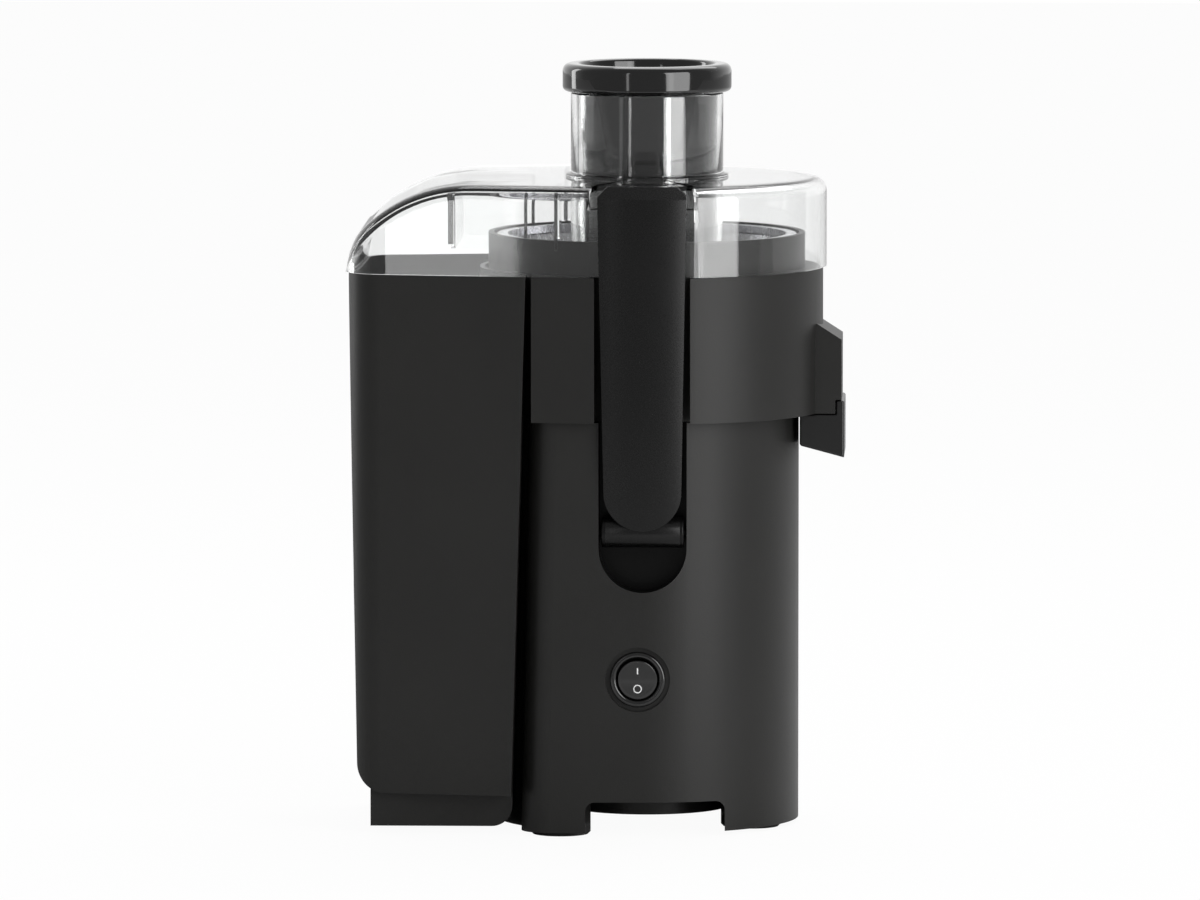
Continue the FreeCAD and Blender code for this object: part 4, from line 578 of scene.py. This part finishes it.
def rounded_profile(corners, radii, steps=8):
    """Profile with each inner corner replaced by a tangent arc of its radius, as arrays of (radius, height)."""
    corners = np.asarray(corners, dtype=float)
    part = np.linspace(0.0, 1.0, steps + 1)[:, None]
    pieces = [corners[:1]]
    for here, before, after, radius in zip(corners[1:-1], corners, corners[2:], radii[1:-1]):
        back = (before - here) / np.linalg.norm(before - here)
        ahead = (after - here) / np.linalg.norm(after - here)
        half = math.acos(float(np.clip(back @ ahead, -1, 1))) / 2
        swing = 2 * (QUARTER_TURN - half)
        if radius <= 0 or swing < 1e-6:
            pieces.append(here[None])
            continue
        reach = radius / math.tan(half)
        middle = here + (back + ahead) / np.linalg.norm(back + ahead) * radius / math.sin(half)
        start = here + back * reach - middle
        end = here + ahead * reach - middle
        arc = (np.sin((1 - part) * swing) * start + np.sin(part * swing) * end) / math.sin(swing)
        pieces.append(middle + arc)
    pieces.append(corners[-1:])
    return np.concatenate(pieces)


def lid_height(x, rear, wall):
    """Ceiling over a place along X: flat, then a long arc and a short arc, tangent, down to the rear rim."""
    drop = LID_TOP - LID_RIM
    flat = LID_CURVE - rear
    long = (LID_CURVE ** 2 + drop ** 2 - 2 * LID_CURVE * LID_BACK) / (2 * (drop - LID_BACK))
    back = LID_BACK - rear
    meet = flat + (long - wall) * (back - flat) / (long - LID_BACK)
    first = LID_TOP - long + np.sqrt(np.maximum((long - wall) ** 2 - (x - flat) ** 2, 0))
    second = LID_RIM + np.sqrt(np.maximum((LID_BACK - wall) ** 2 - (x - back) ** 2, 0))
    return np.where(x >= flat, LID_TOP - wall, np.where(x >= meet, first, second))


def lid_outline(radius, rear, corner, notch_half, notch_out):
    """Half the plan from the front middle to the rear middle: front arc, latch notch, straight side, corner and
    rear. Gives the points, their outward normals, and the marks of the notch's back and two sides."""
    sine = math.sin(LID_TAPER)
    cosine = math.cos(LID_TAPER)
    angle = np.linspace(0.0, math.acos(notch_half / radius), FRONT_POINTS)
    front = np.stack([np.cos(angle), np.sin(angle)], axis=-1)
    back_x = np.linspace(notch_half, -notch_half, NOTCH_POINTS)
    back = np.stack([back_x, np.full(NOTCH_POINTS, notch_out)], axis=-1)
    end_x = corner * (1 - sine) - rear
    side_x = np.linspace(-notch_half, end_x, SIDE_POINTS)
    side = np.stack([side_x, (radius + side_x * sine) / cosine], axis=-1)
    middle = np.array([corner - rear, side[-1, 1] - corner * cosine])
    bend_angle = np.linspace(QUARTER_TURN + LID_TAPER, math.pi, BEND_POINTS + 1)[1:]
    bend = np.stack([np.cos(bend_angle), np.sin(bend_angle)], axis=-1)
    rear_y = np.linspace(middle[1], 0.0, REAR_POINTS + 1)[1:]
    end = np.stack([np.full(REAR_POINTS, -rear), rear_y], axis=-1)
    gap = np.zeros((NOTCH_SIDE_POINTS, 2))
    points = np.concatenate([front * radius, gap, back, gap, side, middle + corner * bend, end])
    normals = np.concatenate([front, gap, np.tile([0.0, 1.0], (NOTCH_POINTS, 1)), gap,
                              np.tile([-sine, cosine], (SIDE_POINTS, 1)), bend,
                              np.tile([-1.0, 0.0], (REAR_POINTS, 1))])
    mark = np.repeat([0, NOTCH_FRONT_SIDE, NOTCH_BACK, NOTCH_REAR_SIDE, 0],
                     [FRONT_POINTS, NOTCH_SIDE_POINTS, NOTCH_POINTS, NOTCH_SIDE_POINTS,
                      SIDE_POINTS + BEND_POINTS + REAR_POINTS])
    return points, normals, mark


def lid_ring(plan, height, mark):
    """A ring of the lid from its plan and heights. Each notch side is ruled straight from the outline's corner
    to the notch back's corner."""
    ring = np.column_stack([plan, height])
    part = (np.arange(1, NOTCH_SIDE_POINTS + 1) / (NOTCH_SIDE_POINTS + 1))[:, None]
    for side in (NOTCH_FRONT_SIDE, NOTCH_REAR_SIDE):
        first = int(np.argmax(mark == side))
        start = ring[first - 1]
        end = ring[first + NOTCH_SIDE_POINTS]
        ring[first:first + NOTCH_SIDE_POINTS] = start + part * (end - start)
    return ring


def lid_skin(radius, rear, corner, notch_half, notch_out, ramp, edge, rear_edge, wall, hole):
    """Rings of one skin of the lid from its rim up the wall, round the top edge or up the notch ramp, and in to
    a circle round the chute: each ring is the outline moved in along its normals, at the ceiling's height.
    The edge radius runs from the rear's to the front's. Gives the rings and the bearings of the circle."""
    plan, normals, mark = lid_outline(radius, rear, corner, notch_half, notch_out)
    edge = np.interp(plan[:, 0], EDGE_BLEND, (rear_edge, edge))
    notch = mark == NOTCH_BACK
    rise = LID_TOP - wall - ramp
    ceiling = lid_height(plan[:, 0], rear + wall, wall)
    shoulder = np.where(notch, ramp, np.maximum(ceiling - edge, LID_RIM))
    rings = [lid_ring(plan, LID_RIM + part * (shoulder - LID_RIM), mark) for part in WALL_RINGS]
    for turn in EDGE_RINGS:
        step = np.where(notch, rise * turn / QUARTER_TURN, edge * (1 - math.cos(turn)))
        moved = plan - normals * step[:, None]
        rounded = lid_height(moved[:, 0], rear + wall, wall) - edge + edge * math.sin(turn)
        height = np.where(notch, ramp + rise * turn / QUARTER_TURN, np.maximum(rounded, LID_RIM))
        rings.append(lid_ring(moved, height, mark))
    last = rings[-1]
    bearing = np.arctan2(last[:, 1], last[:, 0])
    circle = hole * np.column_stack([np.cos(bearing), np.sin(bearing)])
    for part in CEILING_RINGS:
        moved = last[:, :2] * (1 - part) + circle * part
        rings.append(np.column_stack([moved, lid_height(moved[:, 0], rear + wall, wall)]))
    return rings, bearing


def whole_ring(half):
    """A ring from its half: the half, then its mirror without the two end points."""
    return np.concatenate([half, half[-2:0:-1] * np.array([1.0, -1.0, 1.0])])


def lid_shape(radius, rear, edge, wall):
    """Clear lid: the rings of the outer skin, of the chute and of the inner skin, joined in one closed grid."""
    outer, bearing = lid_skin(radius, rear, LID_CORNER, NOTCH_HALF, NOTCH_OUT, NOTCH_RAMP, edge, edge, 0.0,
                              CHUTE_OUT + CHUTE_FILLET)
    inner, _ = lid_skin(radius - wall, rear - wall, LID_CORNER - wall, NOTCH_HALF + NOTCH_WALL,
                        NOTCH_OUT - NOTCH_WALL, NOTCH_RAMP - RAMP_WALL, edge - wall, INNER_EDGE, wall,
                        CHUTE_OUT)
    chute = [np.column_stack([r * np.cos(bearing), r * np.sin(bearing), np.full(len(bearing), z)])
             for r, z in CHUTE_PROFILE]
    points = np.stack([whole_ring(ring) for ring in outer + chute + inner[::-1]])
    rows, columns = points.shape[:2]
    return points.reshape(-1, 3) + np.array([AXIS_X, 0.0, 0.0]), grid_faces(rows, columns, True)


def rounded_plate(axis, place, wall, low, high, base, top, corner):
    """Closed plate across an axis: an outline with two round lower corners, carried through its wall."""
    turn = np.linspace(0.0, QUARTER_TURN, PLATE_STEPS)
    right = np.column_stack([high - corner + corner * np.sin(turn), base + corner - corner * np.cos(turn)])
    left = np.column_stack([low + corner - corner * np.cos(turn), base + corner - corner * np.sin(turn)])
    outline = np.concatenate([right, [[high, top], [low, top]], left])
    count = len(outline)
    middle = np.tile(outline.mean(axis=0), (count, 1))
    rings = [(middle, 0.0), (outline, 0.0), (outline, wall), (middle, wall)]
    if axis == "x":
        grids = [np.column_stack([np.full(count, place + step), flat]) for flat, step in rings]
    else:
        grids = [np.column_stack([flat[:, 0], np.full(count, place + step), flat[:, 1]])
                 for flat, step in reversed(rings)]
    return np.concatenate(grids) + np.array([AXIS_X, 0.0, 0.0]), grid_faces(len(rings), count)


def mirrored_plate(axis, place, wall, low, high, *heights):
    """The same plate on the near side."""
    if axis == "x":
        return rounded_plate(axis, place, wall, -high, -low, *heights)
    return rounded_plate(axis, -place - wall, wall, low, high, *heights)


def bezel_shape(middle, height, rim, bore, face, back):
    """Bezel: a rolled profile turned about the switch's axis, from its back round the rim to its well."""
    neck = rim - BEZEL_STEP
    seat = face + BEZEL_SEAT
    well = face + BEZEL_WELL
    corners = [(0.0, back), (neck, back), (neck, seat), (rim, seat), (rim, face), (bore, face), (bore, well),
               (0.0, well)]
    return faced(rounded_profile(corners, BEZEL_RADII), middle, height)


def paddle_shape(middle, height, reach, face):
    """Rocker: a disc with a rounded rim, turned about the switch's axis. A point that is up above the middle
    stands proud by tan(tilt) * (up + sqrt(up * up + bend * bend)) / 2, and the back stays flat."""
    flat = reach - ROCKER_EDGE
    turn = np.linspace(0.0, QUARTER_TURN, ROCKER_EDGE_STEPS + 1)[1:]
    across = np.linspace(0.0, flat, ROCKER_RINGS)
    spread = np.concatenate([across, flat + ROCKER_EDGE * np.sin(turn), [reach, 0.0]])
    drop = np.concatenate([np.zeros(ROCKER_RINGS), ROCKER_EDGE - ROCKER_EDGE * np.cos(turn), [0.0, 0.0]])
    points, faces = faced(np.column_stack([spread, face + drop]), middle, height)
    up = points[:, 2] - height
    points[:, 1] -= math.tan(ROCKER_TILT) * (up + np.sqrt(up ** 2 + ROCKER_BEND ** 2)) / 2
    points[-2 * SWITCH_SEGMENTS:, 1] = face + ROCKER_DEPTH
    return points, faces[:, ::-1]


def bar_mark(middle, height, face):
    """Upright bar: a thin plate sheared so that it lies on the rocker's tilted upper face."""
    place = middle - AXIS_X
    points, faces = rounded_plate("y", face - INK, 2 * INK, place - BAR_HALF, place + BAR_HALF,
                                  height + BAR_ENDS[0], height + BAR_ENDS[1], BAR_CORNER)
    points[:, 1] -= (points[:, 2] - height) * math.tan(ROCKER_TILT)
    return points, faces


def ring_mark(middle, height, face):
    """Ring: four edges, inner and outer, front and back, each carried once round its middle."""
    angle = np.linspace(0.0, FULL_TURN, RING_SEGMENTS, endpoint=False)
    inner, outer = RING_RADII
    edges = [(inner, face - INK), (outer, face - INK), (outer, face + INK), (inner, face + INK)]
    points = [np.column_stack([middle + r * np.cos(angle), np.full(RING_SEGMENTS, y),
                               height + r * np.sin(angle)]) for r, y in edges]
    return np.concatenate(points), grid_faces(len(edges), RING_SEGMENTS, True)[:, ::-1]


class JUICER_OT_body(bpy.types.Operator):
    """Dresses the housing, bowl, bin, nozzle and bottom cover in black, the nozzle in a darker black that is
    partly painted shade, and paints the latch pockets near-black as painted shade
    """
    bl_idname = "juicer.body"
    bl_label = "Body Mouldings"

    def execute(self, context):
        edge = sizes().soft_edge
        satin = moulded_black("satin_black", colours().body_colour, roughness=0.44, grain=1500.0, depth=0.10,
                              gloss=0.3)
        # The nozzle takes the darker latch black: partly its own glossier plastic, partly painted shade under
        # the spout's hood.
        plain = moulded_black("nozzle_black_and_shade", colours().latch_colour, roughness=0.3, grain=1500.0, depth=0.03)
        # Painted shade: the latch pockets' faces are lined near-black where the recess lies in shadow.
        pocket_shade = moulded_black("pocket_painted_shade", PAINTED_SHADE_BLACK, roughness=0.3, grain=1500.0, depth=0.03, gloss=0.15)
        skin = softened("base_housing", satin, "housing", edge)
        paint_shade_faces(skin, pocket_shade, *POCKET_SHADE_ZONE)
        softened("juice_bowl", satin, "bowl", edge)
        softened("pulp_bin", satin, "bin", edge)
        softened("spout_nozzle", plain, "nozzle", edge)
        dress(satin, "bottom_cover")
        return {"FINISHED"}


class JUICER_OT_latches(bpy.types.Operator):
    """Dresses both latch arms in smooth black, paints their hinge barrels near-black as painted shade, and
    widens the barrels with a sleeve in the same painted shade
    """
    bl_idname = "juicer.latches"
    bl_label = "Latch Arms"

    def execute(self, context):
        black = moulded_black("latch_black", colours().latch_colour, roughness=0.27, grain=1900.0, depth=0.01,
                              gloss=0.3, crown=ARM_CROWN)
        # Painted shade: near-black on the hinge barrels and their sleeves, which lie in shadow in the pockets.
        barrel = moulded_black("barrel_painted_shade", PAINTED_SHADE_BLACK, roughness=0.3, grain=1900.0, depth=0.03, gloss=0.2)
        for node in ("latch_arm_near", "latch_arm_far"):
            skin = softened(node, black, "latch", ARM_EDGE, angle=26.0, segments=4)
            paint_shade_faces(skin, barrel, *BARREL_SHADE_ZONE)
        corners = [(SLEEVE_BORE, 0.0), (SLEEVE_BORE, -SLEEVE_REACH), (SLEEVE_RADIUS, -SLEEVE_REACH),
                   (SLEEVE_RADIUS, SLEEVE_REACH), (SLEEVE_BORE, SLEEVE_REACH), (SLEEVE_BORE, 0.0)]
        profile = rounded_profile(corners, SLEEVE_RADII)
        for side in ("near", "far"):
            body = "latch_" + side
            swing = next(joint for joint in frame["record"]["behaviour"]["joints"] if joint["child"] == body)
            mesh_piece("hinge_sleeve_" + side, axled(profile, *swing["pos_m"][1:]), barrel, body, "latch")
        return {"FINISHED"}


class JUICER_OT_lid(bpy.types.Operator):
    """Builds the clear lid with its chute and fins, and dark-tinted bands that are painted shade standing for
    the dark refraction along its edges
    """
    bl_idname = "juicer.lid"
    bl_label = "Clear Lid"

    def execute(self, context):
        clear = clear_plastic("clear_lid", (0.985, 0.99, 0.988, 1.0))
        # Painted shade: the dark tint of these bands stands for the dark refraction along the lid's edges.
        shade_tint = clear_plastic("clear_shade_band", (0.10, 0.10, 0.10, 1.0))
        lid = lid_shape(sizes().lid_radius, sizes().lid_rear, sizes().lid_edge, sizes().lid_wall)
        mesh_piece("lid_cover", lid, clear, "lid", "clear", "lid")
        mesh_piece("fin_deflector", rounded_plate(*DEFLECTOR), clear, "lid", "clear")
        for material, plates in ((clear, PAIRED_FINS), (shade_tint, PAIRED_SHADE_BANDS)):
            for name, plate in plates:
                mesh_piece(name + "_near", mirrored_plate(*plate), material, "lid", "clear")
                mesh_piece(name + "_far", rounded_plate(*plate), material, "lid", "clear")
        return {"FINISHED"}


class JUICER_OT_pusher(bpy.types.Operator):
    """Turns the gloss black pusher cup with its rolled cap"""
    bl_idname = "juicer.pusher"
    bl_label = "Food Pusher"

    def execute(self, context):
        (left, _, foot), (right, _, top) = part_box("food_pusher")
        cap = (right - left) / 2
        neck = top - CAP_HEIGHT
        floor = foot + CUP_FLOOR
        corners = [(0.0, foot), (STEM_RADIUS, foot), (STEM_RADIUS, neck), (cap, neck), (cap, top),
                   (STEM_RADIUS - CUP_LIP, top), (STEM_RADIUS - CUP_WALL, top - CUP_FLARE),
                   (STEM_RADIUS - CUP_FOOT_WALL, floor), (0.0, floor)]
        gloss = polished_black("pusher_gloss", colours().pusher_colour, roughness=0.05)
        cup = turned(rounded_profile(corners, PUSHER_RADII), PUSHER_SEGMENTS)
        mesh_piece("pusher_cup", cup, gloss, "pusher", "pusher", "food_pusher")
        return {"FINISHED"}


class JUICER_OT_switch(bpy.types.Operator):
    """Builds the round rocker switch and prints its two marks"""
    bl_idname = "juicer.switch"
    bl_label = "Rocker Switch"

    def execute(self, context):
        gloss = polished_black("switch_gloss", colours().pusher_colour, roughness=0.12)
        ink = white_print(colours().mark_colour)
        low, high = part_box("rocker_button")
        middle = (low[0] + high[0]) / 2
        height = (low[2] + high[2]) / 2
        reach = (high[2] - low[2]) / 2
        (left, face, _), (right, back, _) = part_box("switch_bezel")
        bezel = bezel_shape(middle, height, (right - left) / 2, reach + BEZEL_GAP, face, back)
        mesh_piece("bezel_ring", bezel, gloss, "base", "switch", "switch_bezel")
        paddle = paddle_shape(middle, height, reach, face)
        mesh_piece("rocker_paddle", paddle, gloss, "rocker", "switch", "rocker_button")
        mesh_piece("mark_on", bar_mark(middle, height, face), ink, "rocker", "switch")
        mesh_piece("mark_off", ring_mark(middle, height - RING_DROP * reach, face), ink, "rocker", "switch")
        return {"FINISHED"}


class JUICER_OT_works(bpy.types.Operator):
    """Dresses the motor, drive, basket and small fittings"""
    bl_idname = "juicer.works"
    bl_label = "Motor and Basket"

    def execute(self, context):
        steel = brushed_metal("stainless", (0.62, 0.62, 0.64), roughness=0.26, stretch=(1.0, 1.0, 0.08))
        ground = brushed_metal("ground_steel", (0.5, 0.5, 0.52), roughness=0.2, stretch=(1.0, 1.0, 0.05))
        pressed = brushed_metal("pressed_aluminium", (0.6, 0.6, 0.62), roughness=0.42, stretch=(0.1, 1.0, 1.0))
        blackened = brushed_metal("blackened_steel", (0.006, 0.006, 0.006), roughness=0.5,
                                  stretch=(0.1, 1.0, 1.0))
        dark = moulded_black("works_black", colours().body_colour, roughness=0.5, grain=1200.0, depth=0.1)
        dress(steel, "grater_disc", "sieve", "basket_rim")
        dress(ground, "motor_shaft", "upper_bearing", "lower_bearing")
        dress(blackened, "latch_pin_near", "latch_pin_far")
        dress(pressed, "motor_upper_bracket", "motor_lower_bracket")
        dress(stacked_sheet(), "motor_stator", "armature_core")
        dress(enamel_wire(), "field_coil_near", "field_coil_far", "winding_upper", "winding_lower",
              "commutator")
        dress(soft_rubber(), "foot_front_near", "foot_front_far", "foot_rear_near", "foot_rear_far",
              "shaft_seal", "cord_gland")
        dress(dark, "brush_front", "brush_rear", "interlock_near", "interlock_far", "cooling_fan",
              "drive_coupling", "basket_hub")
        return {"FINISHED"}


class JUICER_OT_stage(bpy.types.Operator):
    """Sets the pale floor, the soft lights and the camera"""
    bl_idname = "juicer.stage"
    bl_label = "Studio"

    def execute(self, context):
        context.scene.view_settings.view_transform = "Standard"
        context.scene.world = studio_sky()
        self.lay_floor()
        for lamp in LAMPS:
            self.hang_lamp(*lamp)
        context.scene.camera = self.set_camera()
        return {"FINISHED"}

    def lay_floor(self):
        """One flat sheet of paper."""
        mesh = bpy.data.meshes.new("studio_floor")
        corners = [(-FLOOR_SIDE, FLOOR_FRONT, 0), (FLOOR_SIDE, FLOOR_FRONT, 0),
                   (FLOOR_SIDE, FLOOR_SIDE, 0), (-FLOOR_SIDE, FLOOR_SIDE, 0)]
        mesh.from_pydata(corners, [], [(0, 1, 2, 3)])
        mesh.materials.append(studio_paper())
        floor = add_object("studio_floor", mesh)

    def hang_lamp(self, name, bearing, away, rise, width, length, power):
        """A soft box at a bearing from the front, aimed at the middle of the juicer."""
        angle = math.radians(bearing)
        lamp = bpy.data.lights.new(name, "AREA")
        lamp.shape = "RECTANGLE"
        lamp.size = width
        lamp.size_y = length
        lamp.energy = power
        holder = add_object(name, lamp)
        holder.location = (away * math.sin(angle), -away * math.cos(angle), rise)
        holder.rotation_euler = (LAMP_AIM - holder.location).to_track_quat("-Z", "Y").to_euler()

    def set_camera(self):
        """Camera with a long lens, aimed at the point in the middle of the photograph."""
        level = math.cos(CAMERA_ELEVATION)
        target = Vector((AXIS_X + (PHOTO_WIDTH / 2 - AXIS_PIXEL) / PHOTO_SCALE, 0.0,
                         (FLOOR_PIXEL - PHOTO_HEIGHT / 2) / (PHOTO_SCALE * level)))
        toward = Vector((math.sin(CAMERA_AZIMUTH) * level, -math.cos(CAMERA_AZIMUTH) * level,
                         math.sin(CAMERA_ELEVATION)))
        lens = bpy.data.cameras.new("photo_camera")
        lens.sensor_width = CAMERA_SENSOR
        lens.lens = PHOTO_SCALE * CAMERA_AWAY / PHOTO_WIDTH * CAMERA_SENSOR
        lens.clip_end = CAMERA_END
        camera = add_object("photo_camera", lens)
        camera.location = target + toward * CAMERA_AWAY
        camera.rotation_euler = (-toward).to_track_quat("-Z", "Y").to_euler()
        return camera


OPERATORS = (JUICER_OT_body, JUICER_OT_latches, JUICER_OT_lid, JUICER_OT_pusher, JUICER_OT_switch,
             JUICER_OT_works, JUICER_OT_stage)


class JUICER_PT_panel(bpy.types.Panel):
    """Lists the juicer's pieces"""
    bl_idname = "JUICER_PT_panel"
    bl_label = "Juicer"
    bl_space_type = "VIEW_3D"
    bl_region_type = "UI"
    bl_category = "Juicer"

    def draw(self, context):
        for operator in OPERATORS:
            self.layout.operator(operator.bl_idname)


CLASSES = (JuicerSizes, JuicerFinish) + OPERATORS + (JUICER_PT_panel,)


def register():
    """Registers the classes and the scene's settings."""
    for item in CLASSES:
        bpy.utils.register_class(item)
    bpy.types.Scene.juicer_sizes = bpy.props.PointerProperty(type=JuicerSizes)
    bpy.types.Scene.juicer_finish = bpy.props.PointerProperty(type=JuicerFinish)


def unregister():
    """Removes the settings and the classes."""
    del bpy.types.Scene.juicer_finish
    del bpy.types.Scene.juicer_sizes
    for item in reversed(CLASSES):
        bpy.utils.unregister_class(item)


def main():
    """Builds every piece and the studio."""
    register()
    bpy.ops.juicer.body()
    bpy.ops.juicer.latches()
    bpy.ops.juicer.lid()
    bpy.ops.juicer.pusher()
    bpy.ops.juicer.switch()
    bpy.ops.juicer.works()
    bpy.ops.juicer.stage()


if __name__ == "__main__":
    main()
